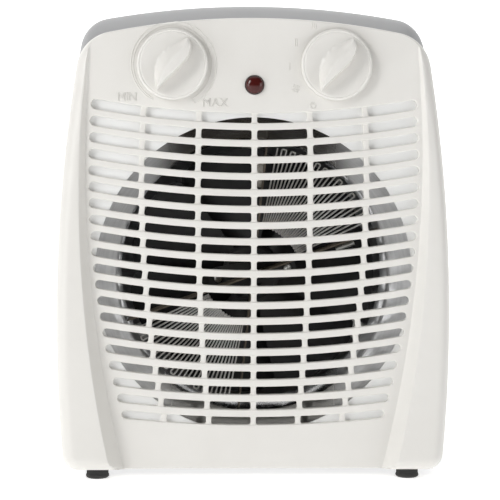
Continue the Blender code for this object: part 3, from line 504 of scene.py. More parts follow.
def oval(centre, half, radius, bend=0.0, straight=1, round_steps=9):
    """A slot with round ends, as a function of how much it grows. bend curves it upwards at its ends."""

    def loop(grow):
        reach = half - radius
        size = radius + grow
        places = []
        for side in (-1, 1):
            xs = np.linspace(side * -reach, side * reach, straight + 1)
            tilts = np.arctan(bend * xs)
            zs = bend * xs**2 / 2
            sign = 1 if side < 0 else -1
            for x, z, tilt in zip(xs, zs, tilts):
                places.append((x - sign * size * math.sin(tilt), z + sign * size * math.cos(tilt)))
            end = tilts[-1] + (math.pi / 2 if side < 0 else -math.pi / 2)
            for i in range(1, round_steps):
                turn = end + math.pi * i / round_steps
                places.append((xs[-1] + size * math.cos(turn), zs[-1] + size * math.sin(turn)))
        return [(centre[0] + x, centre[1] + z) for x, z in places]

    return loop


def around(centre, radius, turn):
    return centre[0] + radius * math.cos(turn), centre[1] + radius * math.sin(turn)


def disc(centre, radius, count=32):
    def loop(grow):
        return [around(centre, radius + grow, 2 * math.pi * i / count) for i in range(count)]

    return loop


def band(first, second):
    """The faces between two closed rings, given as lists of their points' numbers."""
    faces = []
    for i in range(len(first)):
        j = (i + 1) % len(first)
        faces.append((first[i], first[j], second[j], second[i]))
    return faces


def smoothed(mesh, angle):
    mesh.shade_smooth()
    mesh.set_sharp_from_angle(angle=math.radians(angle))


def smooth_mesh(name, points, faces, angle=38.0):
    """A mesh with outward faces, doubles merged, and edges sharper than the angle kept sharp."""
    shape = bmesh.new()
    verts = [shape.verts.new(tuple(place)) for place in points]
    for face in faces:
        corners = [verts[i] for i in face]
        if len(set(corners)) == len(corners):
            try:
                shape.faces.new(corners)
            except ValueError:
                pass
    loose = [v for v in shape.verts if not v.link_faces]
    bmesh.ops.delete(shape, geom=loose, context="VERTS")
    bmesh.ops.remove_doubles(shape, verts=shape.verts[:], dist=1e-7)
    bmesh.ops.recalc_face_normals(shape, faces=shape.faces[:])
    mesh = bpy.data.meshes.new(name)
    shape.to_mesh(mesh)
    shape.free()
    smoothed(mesh, angle)
    return mesh


def evenly_lit(piece):
    """Lets the large faces set the shading, so that a flat face beside a rounded edge stays flat."""
    weighted = piece.modifiers.new("even", "WEIGHTED_NORMAL")
    weighted.keep_sharp = True
    return baked(piece)


def taken_mesh(piece):
    """The plain mesh of a piece once its modifiers have run. The piece itself is removed."""
    graph = bpy.context.evaluated_depsgraph_get()
    mesh = bpy.data.meshes.new_from_object(piece.evaluated_get(graph), depsgraph=graph)
    bpy.data.objects.remove(piece, do_unlink=True)
    return mesh


def baked(piece):
    """The piece with its modifiers made plain mesh."""
    name = piece.name
    materials = [slot.material for slot in piece.material_slots]
    old = piece.data
    mesh = taken_mesh(piece)
    bpy.data.meshes.remove(old)
    mesh.name = name
    made = linked_object(name, mesh)
    if not len(mesh.materials):
        for material in materials:
            mesh.materials.append(material)
    return made


def moulded_shell(name, rim, holes, lines, spacing, face_y, inner_shift, thickness, side, rings):
    """A closed shell. The pierced face is filled from its rim, the skirt runs back through the rings, and an
    inner skin, thickness behind the face, closes it. side is 1 where depth runs along +Y and -1 along -Y."""
    flat, faces, marks = filled(rim, [hole.loop(hole.edge) for hole in holes], lines, spacing)
    x, z = flat.T
    y = face_y(x, z)
    points = [tuple(place) for place in np.column_stack([x, y, z])]
    back = np.column_stack(inner_shift(x, y, z))
    polygons = [tuple(face) for face in faces]

    def add(places):
        start = len(points)
        points.extend(places)
        return list(range(start, len(points)))

    def sunk(loop, depth):
        """Adds a hole's loop at a depth behind the face."""
        ys = face_y(loop[:, 0], loop[:, 1]) + side * depth
        return add([(a, b, c) for (a, c), b in zip(loop, ys)])

    for hole, mark in zip(holes, marks[1:]):
        ring = mark
        for grow, depth in hole.steps:
            after = sunk(np.array(hole.loop(grow)), depth)
            polygons.extend(band(ring, after))
            ring = after
        loop = np.array(hole.loop(0.0))
        if not hole.floor:
            after = sunk(loop, thickness(loop[:, 0], loop[:, 1]))
            polygons.extend(band(ring, after))
            for i, number in enumerate(mark):
                back[number] = points[after[i]]
            continue
        floor_y = face_y(*loop.mean(axis=0)[:, None])[0] + side * hole.depth
        after = add([(a, floor_y, c) for a, c in loop])
        polygons.extend(band(ring, after))
        polygons.append(tuple(after))
        wide = np.array(hole.loop(hole.floor))
        for i, number in enumerate(mark):
            back[number] = (wide[i, 0], back[number][1], wide[i, 1])
        outer = add([tuple(back[number]) for number in mark])
        deep = add([(a, floor_y + side * hole.floor, c) for a, c in wide])
        polygons.extend(band(outer, deep))
        polygons.append(tuple(deep))
    behind = add([tuple(place) for place in back])
    polygons += [tuple(behind[i] for i in face) for face in faces]
    outer = marks[0]
    inner = [behind[i] for i in marks[0]]
    for ring, inset_ring in rings:
        after = add(ring)
        inner_after = add(inset_ring)
        polygons.extend(band(outer, after) + band(inner, inner_after))
        outer = after
        inner = inner_after
    polygons.extend(band(outer, inner))
    return smooth_mesh(name, points, polygons)


def slot_shape(row):
    """Middle at x = 0, half length, height and upward bend of one row of the outlet."""
    share = max(0.0, (row - SLOT_FLATTER_ROW) / (SLOT_ROWS - 1 - SLOT_FLATTER_ROW))
    bend = between(*SLOT_BENDS, share)
    top = SLOT_TOP_Z - SLOT_PITCH * row + 0.0000183 * row**2
    height = SLOT_HEIGHT - 0.0000515 * row
    z = top + SLOT_HALF**2 * bend / 2 - height / 2
    half = SLOT_HALF - SLOT_ENDS_RADIUS + math.sqrt(SLOT_ENDS_RADIUS**2 - (z - SLOT_WIDEST_Z) ** 2)
    return top - height / 2, half, height, bend


def panel_thickness(x, z):
    top_of_slots = 0.233
    return np.where(z > top_of_slots, PLATE, BAR_DEPTH)


def front_inner(x, y, z):
    """Where the inner skin lies behind each point of the front face."""
    inwards, _ = FRONT_ROUND
    reach = np.clip(front_outline.inward(x, z, inwards) / inwards, 0.0, 1.0)
    inner_x, inner_z = front_outline.skin(x, z, WALL * (1 - reach) ** 2)
    return inner_x, y + panel_thickness(x, z) * (0.35 + 0.65 * reach), inner_z


holes = []
for row in range(SLOT_ROWS):
    middle, half, height, bend = slot_shape(row)
    shape = oval((0.0, middle), half, height / 2, bend, straight=56)
    holes.append(Hole(shape, SLOT_EDGE, BAR_DEPTH))
spindle_hole = 0.0039
for x in (-KNOB_X, KNOB_X):
    holes.append(Hole(disc((x, KNOB_Z), spindle_hole, 24), 0.0002, PLATE))
holes.append(Hole(disc((0.0, LAMP_Z), LAMP_RADIUS + GAP, 48), 0.0003, PLATE))



def rounding_lines(outline, rounding):
    """The lines that a face is kept to where it turns into the rounded edge."""
    turns = np.radians((15, 30, 45, 60, 75, 90))
    return [(True, outline.points(0.0, rounding * (1 - math.cos(turn)))) for turn in turns]


lines = rounding_lines(front_outline, FRONT_ROUND[0])
for rounding in (0.0002, 0.0005):
    lines.append((True, front_outline.points(0.0, rounding)))
heights = np.linspace(FOOT_HEIGHT + 0.0002, 0.283, 96)
edge_shifts = [(0, -0.0016), (0, -0.0009), (0, -0.0003), (0.3, 0), (0.7, 0), (1, 0)]
for share, shift in edge_shifts + [(1, 0.0005), (1, 0.0011)]:
    x = panel_half(heights) + share * RECESS_DRAFT * recess(heights) + shift
    kept = front_outline.inward(x, heights) > 0.0001
    for side in (-1, 1):
        lines.append((False, list(zip(side * x[kept], heights[kept]))))

rim = front_outline.points()
seam_y = SEAM_Y - GAP / 2
shell_rings = []
for inset, y in ((0.0, -0.046), (0.0, seam_y - 0.0004), (0.0004, seam_y)):
    ring = [(x, y, z) for x, z in front_outline.points(inset)]
    inner = [(x, min(y, seam_y), z) for x, z in front_outline.points(WALL)]
    shell_rings.append((ring, inner))


def moulded_plastic(name, light, dark, roughness, grain=0.00001):
    """Satin moulded plastic: a fine spark-eroded texture, faint flow marks and a little handling dust."""
    paint = Finish(name)
    flow = paint.noise(9.0, 3.0, paint.stretched((1.0, 1.0, 0.35)), 0.6)
    cloud = paint.noise(60.0, 4.0)
    tone = paint.mixed((flow * 0.75 + cloud * 0.25).step(0.30, 0.72), dark, light)
    fine = paint.noise(2600.0, 2.0)
    sheen = roughness + (cloud - 0.5) * 0.10 + (fine - 0.5) * 0.05
    height = fine + paint.noise(700.0, 1.0) * 0.5
    return paint.surface(
        Base_Color=tone, Roughness=sheen, Specular_IOR_Level=0.5, Normal=paint.bump(height, grain, 0.6)
    )


white_plastic = moulded_plastic("white_plastic", (0.815, 0.800, 0.765), (0.775, 0.758, 0.720), 0.36)
mesh = moulded_shell(
    "front_shell_moulding",
    rim,
    holes,
    lines,
    0.0055,
    front_face_y,
    front_inner,
    panel_thickness,
    1,
    shell_rings,
)
front_shell = evenly_lit(linked_object("front_shell_moulding", mesh, white_plastic))
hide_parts("front_shell")
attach(front_shell, "housing")

# ---- Outlet floors and ribs ---------------------------------------------------------------------
# Parts of the same white moulding. Outside the round outlet the slots are blind, closed behind the bars by a
# thin floor. The floor has a paler, cooler copy of the white plastic: painted light, for the light bounced
# into the slots. Five short ribs tie each pair of bars together.
def pierced_plate(name, rim, holes, spacing, places):
    """A plate inside a rim and outside its holes. places(x, z) gives the points of its two faces."""
    flat, faces, marks = filled(rim, holes, [], spacing)
    count = len(flat)
    points = np.concatenate([np.column_stack(face) for face in places(*flat.T)])
    polygons = [tuple(face) for face in faces] + [tuple(face + count) for face in faces]
    for mark in marks:
        polygons += band(mark, [number + count for number in mark])
    return smooth_mesh(name, points, polygons)


def row_edge(row, side):
    """The curved long edge of the field of slots, below (-1) its last row or above (1) its first."""
    middle, half, height, bend = slot_shape(row)
    places = np.linspace(side * half, -side * half, 31)
    return [(x, middle + side * height + x**2 * bend / 2) for x in places]


def floor_faces(x, z):
    behind_bars = panel_y(x, z) + BAR_DEPTH
    return (x, behind_bars - 0.0002, z), (x, behind_bars + 0.0018, z)


row_ends = []
for row in range(SLOT_ROWS):
    middle, half, height, bend = slot_shape(row)
    row_ends.append((half + 0.0022, middle + half**2 * bend / 2))
field_rim = row_edge(SLOT_ROWS - 1, -1) + row_ends[::-1] + row_edge(0, 1) + [(-x, z) for x, z in row_ends]
outlet = disc((0.0, OUTLET_Z), OUTLET_RADIUS, 144)(0.0)
mesh = pierced_plate("slot_floors", field_rim, [outlet], 0.008, floor_faces)
# A paler, cooler copy of the white plastic for the floors: painted light, standing in for the light bounced
# into the slots.
painted_lit_floor_plastic = moulded_plastic("thin_white_plastic", (0.93, 0.935, 0.93), (0.89, 0.895, 0.89), 0.40)
slot_floors = linked_object("slot_floors", mesh, painted_lit_floor_plastic)
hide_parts("front_shell")
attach(slot_floors, "housing")


def numbered(rings, count):
    """The numbers of points that were laid down ring by ring."""
    return [range(ring * count, (ring + 1) * count) for ring in range(rings)]


def rib_mesh():
    """One rib of unit height, waisted in the middle where its corners run out into the bars."""
    reach = 0.0013
    half = 0.00165
    side = [(half + reach, 0.56), (half + reach, 0.50)]
    for turn in np.radians((67, 45, 22, 0)):
        side.append((half + reach - reach * math.cos(turn), 0.5 - 0.22 * (1 - math.sin(turn))))
    side += [(half, 0.0)]
    side += [(x, -z) for x, z in side[-2::-1]]
    outline = side + [(-x, -z) for x, z in side]
    points = []
    rings = ((0.00045, 0.0), (0.00013, 0.00013), (0.0, 0.00045), (0.0, 0.0034))
    for inset, depth in rings:
        points += [(x - math.copysign(inset, x), depth, z) for x, z in outline]
    numbers = numbered(len(rings), len(outline))
    polygons = [tuple(numbers[0]), tuple(numbers[-1])]
    for first, second in zip(numbers, numbers[1:]):
        polygons += band(first, second)
    return smooth_mesh("one_rib", points, polygons)


def grown(name, build, base, inputs, material):
    """Makes a piece with Geometry Nodes: build(tree, given) returns the geometry from the named inputs."""
    group = bpy.data.node_groups.new(name, "GeometryNodeTree")
    group.interface.new_socket("Geometry", in_out="INPUT", socket_type="NodeSocketGeometry")
    kinds = {float: "NodeSocketFloat", tuple: "NodeSocketVector", bpy.types.Object: "NodeSocketObject"}
    sockets = {}
    for title, value in inputs.items():
        kind = kinds[type(value)]
        sockets[title] = group.interface.new_socket(title, in_out="INPUT", socket_type=kind)
    group.interface.new_socket("Geometry", in_out="OUTPUT", socket_type="NodeSocketGeometry")
    tree = Tree(group)
    entry = group.nodes.new("NodeGroupInput")
    given = {socket.name: Wire(socket) for socket in entry.outputs if socket.name}
    shape = build(tree, given)
    whole = tree.node("GeometryNodeRealizeInstances", values={"Geometry": shape})
    whole = tree.node("GeometryNodeSetMaterial", values={"Geometry": whole, "Material": material})
    tree.node("NodeGroupOutput", values={"Geometry": whole})
    piece = linked_object(name, base)
    modifier = piece.modifiers.new("grow", "NODES")
    modifier.node_group = group
    for title, value in inputs.items():
        modifier[sockets[title].identifier] = value
    piece.update_tag()
    made = baked(piece)
    bpy.data.node_groups.remove(group)
    return made


def cloud_of(name, places, **marks):
    """Loose points with one number each under every name in marks."""
    mesh = bpy.data.meshes.new(name)
    mesh.from_pydata([tuple(place) for place in places], [], [])
    for title, values in marks.items():
        mesh.attributes.new(title, "FLOAT", "POINT").data.foreach_set("value", values)
    return mesh


places = []
heights = []
tilts = []
for row in range(SLOT_ROWS):
    middle, half, height, bend = slot_shape(row)
    for share in (-0.68, -0.34, 0.0, 0.34, 0.68):
        x = share * half
        z = middle + x**2 * bend / 2
        places.append((x, float(panel_y(x, z)) + 0.0007, z))
        heights.append(height)
        tilts.append(-math.atan(bend * x))


def rib_rows(tree, given):
    size = tree.node("GeometryNodeInputNamedAttribute", {"data_type": "FLOAT"}, {"Name": "height"})
    tilt = tree.node("GeometryNodeInputNamedAttribute", {"data_type": "FLOAT"}, {"Name": "tilt"})
    rib = tree.node("GeometryNodeObjectInfo", {}, {"Object": given["Rib"]}, out=4)
    stretch = tree.vector(1.0, 1.0, size)
    turn = tree.vector(y=tilt)
    values = {"Points": given["Geometry"], "Instance": rib, "Rotation": turn, "Scale": stretch}
    return tree.node("GeometryNodeInstanceOnPoints", values=values)


one_rib = linked_object("one_rib", rib_mesh())
base = cloud_of("outlet_ribs", places, height=heights, tilt=tilts)
outlet_ribs = grown("outlet_ribs", rib_rows, base, {"Rib": one_rib}, white_plastic)
bpy.data.objects.remove(one_rib, do_unlink=True)
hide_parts("front_shell")
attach(outlet_ribs, "housing")

# ---- Raised marks on the panel ------------------------------------------------------------------
# Thin raised lines in the same white plastic, part of the moulding: a crescent that widens from MIN to MAX
# round the thermostat knob, and the five places of the function knob.
LINE = 0.00030


def thin_curve(name, strokes, radius=LINE):
    """Round-section lines through flat points, laid on the panel. Each stroke is (closed, points)."""
    curve = bpy.data.curves.new(name, "CURVE")
    curve.dimensions = "3D"
    curve.bevel_depth = radius
    curve.bevel_resolution = 2
    curve.use_fill_caps = True
    for closed, points in strokes:
        spline = curve.splines.new("POLY")
        spline.points.add(len(points) - 1)
        for point, (x, z) in zip(spline.points, points):
            point.co = (x, float(front_face_y(x, z)) - radius * 0.2, z, 1.0)
        spline.use_cyclic_u = closed
    return taken_mesh(linked_object(name, curve))


def lettering(text, size, centre, spread=1.0):
    """The outlines of some letters as strokes, centred on a place of the panel."""
    words = bpy.data.curves.new(text, "FONT")
    words.body = text
    words.size = size
    words.align_x = "CENTER"
    words.align_y = "CENTER"
    words.space_character = spread
    words.resolution_u = 4
    words.fill_mode = "NONE"
    mesh = taken_mesh(linked_object("letters", words))
    bpy.data.curves.remove(words)
    shape = bmesh.new()
    shape.from_mesh(mesh)
    bmesh.ops.remove_doubles(shape, verts=shape.verts[:], dist=size * 0.002)
    shape.verts.ensure_lookup_table()
    strokes = []
    left = set(shape.verts)
    while left:
        vert = next(iter(v for v in shape.verts if v in left))
        path = []
        while vert is not None and vert in left:
            left.discard(vert)
            path.append((centre[0] + vert.co.x, centre[1] + vert.co.y))
            following = [e.other_vert(vert) for e in vert.link_edges]
            vert = next((v for v in following if v in left), None)
        if len(path) > 2:
            strokes.append((True, path))
    shape.free()
    bpy.data.meshes.remove(mesh)
    return strokes


def ring_part(centre, radii, start, end, steps):
    """Part of a ring; its radius runs evenly from the first of radii to the second. Angles in degrees."""
    points = []
    for i in range(steps + 1):
        turn = math.radians(between(start, end, i / steps))
        points.append(around(centre, between(*radii, i / steps), turn))
    return points


dial = (-KNOB_X, KNOB_Z)
inner_arc = ring_part(dial, (0.0235, 0.0235), 240, -60, 100)
outer_arc = ring_part(dial, (0.0244, 0.0268), 240, -60, 100)
strokes = [(True, inner_arc + outer_arc[::-1])]
strokes += lettering("MIN", 0.0068, (-0.0764, 0.2337), 0.95)
strokes += lettering("MAX", 0.0068, (-0.0237, 0.2304), 1.1)
switch = (KNOB_X, KNOB_Z)
marks_radius = 0.0283


for degrees, bars in ((180, 1), (150, 2), (119, 3)):
    x, z = around(switch, marks_radius, math.radians(degrees))
    for bar in range(bars):
        across = x + 0.0011 * (bar - (bars - 1) / 2)
        strokes.append((False, [(across, z - 0.0032), (across, z - 0.0010), (across, z + 0.0014)]))
off = around(switch, marks_radius, math.radians(240))
strokes.append((True, ring_part(off, (0.0019, 0.0019), 0, 345, 23)))
strokes.append((True, ring_part(off, (0.0012, 0.0012), 0, 345, 17)))
fan_mark = around(switch, marks_radius, math.radians(210))
for blade in range(4):
    turn = math.radians(90 * blade + 20)
    corners = ((0.0006, turn), (0.0026, turn), (0.0020, turn + 0.75))
    strokes.append((True, [around(fan_mark, *corner) for corner in corners]))
panel_marks = linked_object("panel_marks", thin_curve("panel_marks", strokes), white_plastic)
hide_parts("front_shell")
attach(panel_marks, "housing")

# ---- Rear shell ---------------------------------------------------------------------------------
# One moulding in mid-grey ABS that stands a little proud of the white one as a band over the top. Its back
# has the air intake, a finger grip with a hooked lip, four deep screw sinks and the hole for the gland.
REAR_ROUND = 0.014
CROWN_Y = -0.014
SCREW_X = 0.100
SCREW_HEIGHTS = (0.040, 0.222)
SCREW_SEAT_Y = SEAM_Y + GAP + 0.004
GLAND = (0.074, 0.032)
GRIP_HALF = 0.048
GRIP_LOW = 0.240
GRIP_HIGH = 0.266
GRIP_HOOK = 0.276
GRIP_DEPTH = 0.023
GRIP_LIP = 0.009
INTAKE_RADIUS = 0.072
INTAKE_PITCH = 0.011
INTAKE_SLOT = 0.0055
rear_outline = Outline(1.0)


def back_face_y(x, z):
    reach = np.clip(rear_outline.inward(x, z), 0.0, REAR_ROUND)
    return REAR_Y - REAR_ROUND + np.sqrt(np.clip(REAR_ROUND**2 - (REAR_ROUND - reach) ** 2, 0.0, None))


def back_inner(x, y, z):
    reach = np.clip(rear_outline.inward(x, z) / REAR_ROUND, 0.0, 1.0)
    inner_x, inner_z = rear_outline.skin(x, z, WALL * (1 - reach))
    return inner_x, y - WALL * np.sqrt(reach), inner_z


def wall_thickness(x, z):
    return np.full_like(x, WALL)


def round_box(low, high, corner, lift=0.0, steps=7):
    """A rectangle with round corners; what lies above its middle is moved up by lift."""

    def loop(grow):
        places = []
        radius = corner + grow
        for x, z, start in (
            (high[0], high[1], 0),
            (low[0], high[1], 90),
            (low[0], low[1], 180),
            (high[0], low[1], 270),
        ):
            centre_x = x - math.copysign(corner, x)
            centre_z = z - corner if start < 180 else z + corner
            for i in range(steps + 1):
                turn = math.radians(start + 90 * i / steps)
                up = lift if start < 180 else 0.0
                places.append((centre_x + radius * math.cos(turn), centre_z + radius * math.sin(turn) + up))
        return places

    return loop


holes = []
rib_half = 0.002
shortest_slot = 0.007
for row in range(-6, 7):
    z = row * INTAKE_PITCH
    reach = abs(z) + INTAKE_SLOT / 2
    if reach >= INTAKE_RADIUS:
        continue
    half = math.sqrt(INTAKE_RADIUS**2 - reach**2)
    rib = INTAKE_RADIUS / 2
    for left, right in ((-half, -rib), (-rib, 0.0), (0.0, rib), (rib, half)):
        left = max(left, -half) + (rib_half if left > -half else 0.0)
        right = min(right, half) - (rib_half if right < half else 0.0)
        if right - left < shortest_slot:
            continue
        place = ((left + right) / 2, OUTLET_Z + z)
        shape = oval(place, (right - left) / 2, INTAKE_SLOT / 2, straight=6, round_steps=8)
        holes.append(Hole(shape, 0.0005, WALL))
for x in (-SCREW_X, SCREW_X):
    for z in SCREW_HEIGHTS:
        sink = disc((x, z), 0.0038, 28)
        holes.append(Hole(sink, 0.0006, REAR_Y - SCREW_SEAT_Y - 0.0002, floor=0.0014))
holes.append(Hole(disc(GLAND, 0.0058, 28), 0.0003, WALL))
mouth = round_box((-GRIP_HALF, GRIP_LOW), (GRIP_HALF, GRIP_HIGH), 0.005)
pocket = round_box((-GRIP_HALF, GRIP_LOW), (GRIP_HALF, GRIP_HIGH), 0.005, GRIP_HOOK - GRIP_HIGH)
grip = Hole(mouth, 0.0018, GRIP_DEPTH, floor=WALL)


def grip_loop(grow):
    return pocket(grow) if grow in (0.0, WALL) else mouth(grow)


grip.loop = grip_loop
grip.steps[-1] = (1e-9, grip.steps[-1][1])
grip.steps += [(1e-9, GRIP_LIP - 0.0006), (-0.0000001, GRIP_LIP)]
holes.append(grip)

lines = rounding_lines(rear_outline, REAR_ROUND)
shell_rings = []
seam_y = SEAM_Y + GAP / 2
stations = [(0.03, 1.0), (0.008, 1.0)]  # y, and the share of the way to the rear shell's outline
for share in np.linspace(1, 0, 9):
    stations.append((between(seam_y, CROWN_Y, share), math.sin(share * math.pi / 2)))
stations[-1] = (seam_y + 0.0004, stations[-1][1])
stations.append((seam_y, 0.0))
for number, (y, share) in enumerate(stations):
    shape = Outline(share)
    inset = 0.0004 if number == len(stations) - 1 else 0.0
    ring = [(x, y, z) for x, z in shape.points(inset)]
    inner = [(x, y, z) for x, z in shape.points(WALL)]
    shell_rings.append((ring, inner))

grey_plastic = moulded_plastic("grey_plastic", (0.375, 0.376, 0.380), (0.342, 0.343, 0.348), 0.42)
mesh = moulded_shell(
    "rear_shell_moulding",
    rear_outline.points(),
    holes,
    lines,
    0.007,
    back_face_y,
    back_inner,
    wall_thickness,
    -1,
    shell_rings,
)
rear_shell = evenly_lit(linked_object("rear_shell_moulding", mesh, grey_plastic))
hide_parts("rear_shell")
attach(rear_shell, "housing")

# ---- Cord gland ---------------------------------------------------------------------------------
# A black PVC strain relief pressed into the rear shell: a flanged collar with a short ribbed sleeve, open
# where the mains lead would leave.
def turned_mesh(name, profiles, centre, sides=48, along="Y", angle=38.0):
    """Closed solids turned about an axis through centre; each profile is a closed loop of (radius, distance)
    points, or starts and ends on the axis."""
    points = []
    polygons = []
    for profile in profiles:
        rings = []
        for radius, distance in profile:
            ring = []
            if radius < 1e-9:
                ring = [len(points)] * sides
                points.append(placed(0.0, 0.0, distance, centre, along))
            else:
                for i in range(sides):
                    across, up = around((0.0, 0.0), radius, 2 * math.pi * i / sides)
                    ring.append(len(points))
                    points.append(placed(across, up, distance, centre, along))
            rings.append(ring)
        closed = profile[0][0] > 1e-9
        pairs = list(zip(rings, rings[1:] + (rings[:1] if closed else [])))
        for first, second in pairs[: len(rings) if closed else len(rings) - 1]:
            for i in range(sides):
                j = (i + 1) % sides
                face = [first[i], first[j], second[j], second[i]]
                corners = [n for k, n in enumerate(face) if n not in face[:k]]
                if len(corners) > 2:
                    polygons.append(tuple(corners))
    return smooth_mesh(name, points, polygons, angle)


def placed(across, up, distance, centre, along):
    offset = (across, distance, up) if along == "Y" else (across, up, distance)
    return tuple(c + o for c, o in zip(centre, offset))


def rolled_edge(corner, before, after, radius, steps=4):
    """A rounded corner of a profile: points on the curve from the way of before to the way of after."""
    corner = Vector(corner)
    into = (Vector(before) - corner).normalized() * radius
    out = (Vector(after) - corner).normalized() * radius
    points = []
    for i in range(steps + 1):
        share = i / steps
        points.append(tuple(corner + into * (1 - share) ** 2 + out * share**2))
    return points


def softened(profile, radius, closed=False):
    """A profile with all its corners rounded, apart from ends on the axis."""
    made = []
    count = len(profile)
    for i, corner in enumerate(profile):
        on_end = not closed and i in (0, count - 1)
        if on_end:
            made.append(corner)
            continue
        before = profile[i - 1]
        after = profile[(i + 1) % count]
        room = min(math.dist(before, corner), math.dist(corner, after)) * 0.45
        made += rolled_edge(corner, before, after, min(radius, room), 3)
    return made


black_plastic = moulded_plastic("black_plastic", (0.026, 0.026, 0.027), (0.018, 0.018, 0.019), 0.45)
bore = 0.0033
neck = 0.0055
flange = 0.0080
sleeve = [(bore, REAR_Y - 0.0050), (0.0075, REAR_Y - 0.0050), (0.0075, REAR_Y - 0.0029)]
sleeve += [(neck, REAR_Y - 0.0028), (neck, REAR_Y + GAP), (flange, REAR_Y + GAP)]
sleeve += [(flange, REAR_Y + 0.0016), (0.0058, REAR_Y + 0.0022)]
for start in (0.0022, 0.0032, 0.0042):
    sleeve += [(0.0047, REAR_Y + start), (0.0047, REAR_Y + start + 0.0004)]
    sleeve += [(0.0053, REAR_Y + start + 0.0005), (0.0053, REAR_Y + start + 0.0008)]
sleeve += [(bore, REAR_Y + 0.0050)]
centre = (GLAND[0], 0.0, GLAND[1])
mesh = turned_mesh("gland_sleeve", [softened(sleeve, 0.0003, True)], centre, 48)
gland = linked_object("gland_sleeve", mesh, black_plastic)
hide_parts("cord_gland")
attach(gland, "housing")

# ---- Feet ---------------------------------------------------------------------------------------
# Four black rubber buttons pushed into holes in the floor of the shells, each with a rolled lower rim.
rubber = Finish("black_rubber")
wear = rubber.noise(420.0, 3.0)
dusty = (1 - rubber.part(2).step(0.0004, 0.0030)) * wear
black_rubber = rubber.surface(
    Base_Color=rubber.mixed(dusty * 0.6, (0.020, 0.020, 0.020), (0.10, 0.097, 0.09)),
    Roughness=0.62 + wear * 0.2,
    Normal=rubber.bump(rubber.noise(2200.0, 3.0), 0.00004, 0.6),
)
foot_profile = [
    (0.0, 0.0004),
    (0.0040, 0.0004),
    (0.0046, 0.0),
    (0.0062, 0.0),
    (0.0072, 0.0008),
    (0.0072, 0.0019),
    (0.0068, 0.0025),
    (0.0068, FOOT_HEIGHT - GAP),
    (0.0032, FOOT_HEIGHT - GAP),
    (0.0032, FOOT_HEIGHT + WALL + 0.0005),
    (0.0, FOOT_HEIGHT + WALL + 0.0005),
]
FOOT_X = 0.096
FOOT_Y = 0.044
for side, x in (("left", -FOOT_X), ("right", FOOT_X)):
    for end, y in (("front", -FOOT_Y), ("rear", FOOT_Y)):
        name = f"rubber_foot_{end}_{side}"
        mesh = turned_mesh(name, [softened(foot_profile, 0.0004)], (x, y, 0.0), 40, "Z")
        foot = linked_object(name, mesh, black_rubber)
        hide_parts(f"foot_{end}_{side}")
        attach(foot, "housing")

# ---- Screws -------------------------------------------------------------------------------------
# Zinc-plated steel screws with rounded heads and a cross recess: four long ones at the bottom of the rear
# shell's sinks, two through the element clamp, two through the motor and three through its bracket.
def rolled_metal(name, light, dark, roughness, scale=(1.0, 1.0, 1.0), fine=600.0, metallic=1.0, dirt=0.0):
    """Sheet or bar metal: streaks along its rolling, faint spots, and an optional dull film."""
    paint = Finish(name)
    streaks = paint.noise(fine, 3.0, paint.stretched(scale))
    spots = paint.noise(90.0, 4.0)
    tone = paint.mixed(spots.step(0.35, 0.70), light, dark)
    dull = spots.step(0.45, 0.75) * dirt
    return paint.surface(
        Base_Color=tone,
        Metallic=metallic - dull,
        Roughness=roughness + (streaks - 0.5) * 0.22 + dull * 0.3,
        Normal=paint.bump(streaks, 0.000015, 0.5),
    )


zinc_steel = rolled_metal("zinc_steel", (0.66, 0.66, 0.64), (0.50, 0.50, 0.47), 0.30, fine=900.0)


def screw_maker(tree, given):
    """A head with a rounded rim and a cross cut in it, and a shank, one for each of the given points. The
    head looks along +Y before it is turned."""
    radius = given["Head Radius"]
    height = given["Head Height"]
    length = given["Shank Length"]

    def cylinder(vertices, radius, depth):
        values = {"Vertices": vertices, "Radius": radius, "Depth": depth}
        return tree.node("GeometryNodeMeshCylinder", values=values)

    values = {"Segments": 32, "Rings": 16, "Radius": radius * 0.985}
    dome = tree.node("GeometryNodeMeshUVSphere", values=values)
    flat = tree.vector(1.0, 1.0, height / radius * 0.66)
    dome = tree.moved(dome, Scale=flat, Translation=tree.vector(z=height * 0.30))
    bars = []
    for across, along in ((0.26, 1.1), (1.1, 0.26)):
        size = tree.vector(radius * across, radius * along, height)
        bar = tree.node("GeometryNodeMeshCube", values={"Size": size})
        bars.append(tree.moved(bar, Translation=tree.vector(z=height * 0.95)))
    whole = boolean(tree, "UNION", None, [cylinder(32, radius, height * 0.62), dome])
    whole = boolean(tree, "DIFFERENCE", whole, bars)
    drop = tree.vector(z=length * -0.5 - height * 0.2)
    shank = tree.moved(cylinder(24, given["Shank Radius"], length), Translation=drop)
    whole = boolean(tree, "UNION", None, [whole, shank])
    whole = tree.moved(whole, Translation=tree.vector(z=height * 0.31))
    values = {"Points": given["Geometry"], "Instance": whole, "Rotation": given["Facing"]}
    return tree.node("GeometryNodeInstanceOnPoints", values=values)


def boolean(tree, operation, first, others):
    made = tree.tree.nodes.new("GeometryNodeMeshBoolean")
    made.operation = operation
    if operation == "DIFFERENCE":
        tree.tree.links.new(first.socket, made.inputs["Mesh 1"])
    for other in others:
        tree.tree.links.new(other.socket, made.inputs["Mesh 2"])
    return Wire(made.outputs["Mesh"])


def screws(name, nodes, places, sizes, towards_back):
    """sizes are head radius, head height, shank radius and shank length; places are under the heads."""
    facing = (-math.pi / 2 if towards_back else math.pi / 2, 0.0, 0.35)
    titles = ("Head Radius", "Head Height", "Shank Radius", "Shank Length")
    inputs = {**dict(zip(titles, sizes)), "Facing": facing}
    piece = grown(name, screw_maker, cloud_of(name, places), inputs, zinc_steel)
    smoothed(piece.data, 35)
    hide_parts(*nodes)
    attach(piece, "housing")


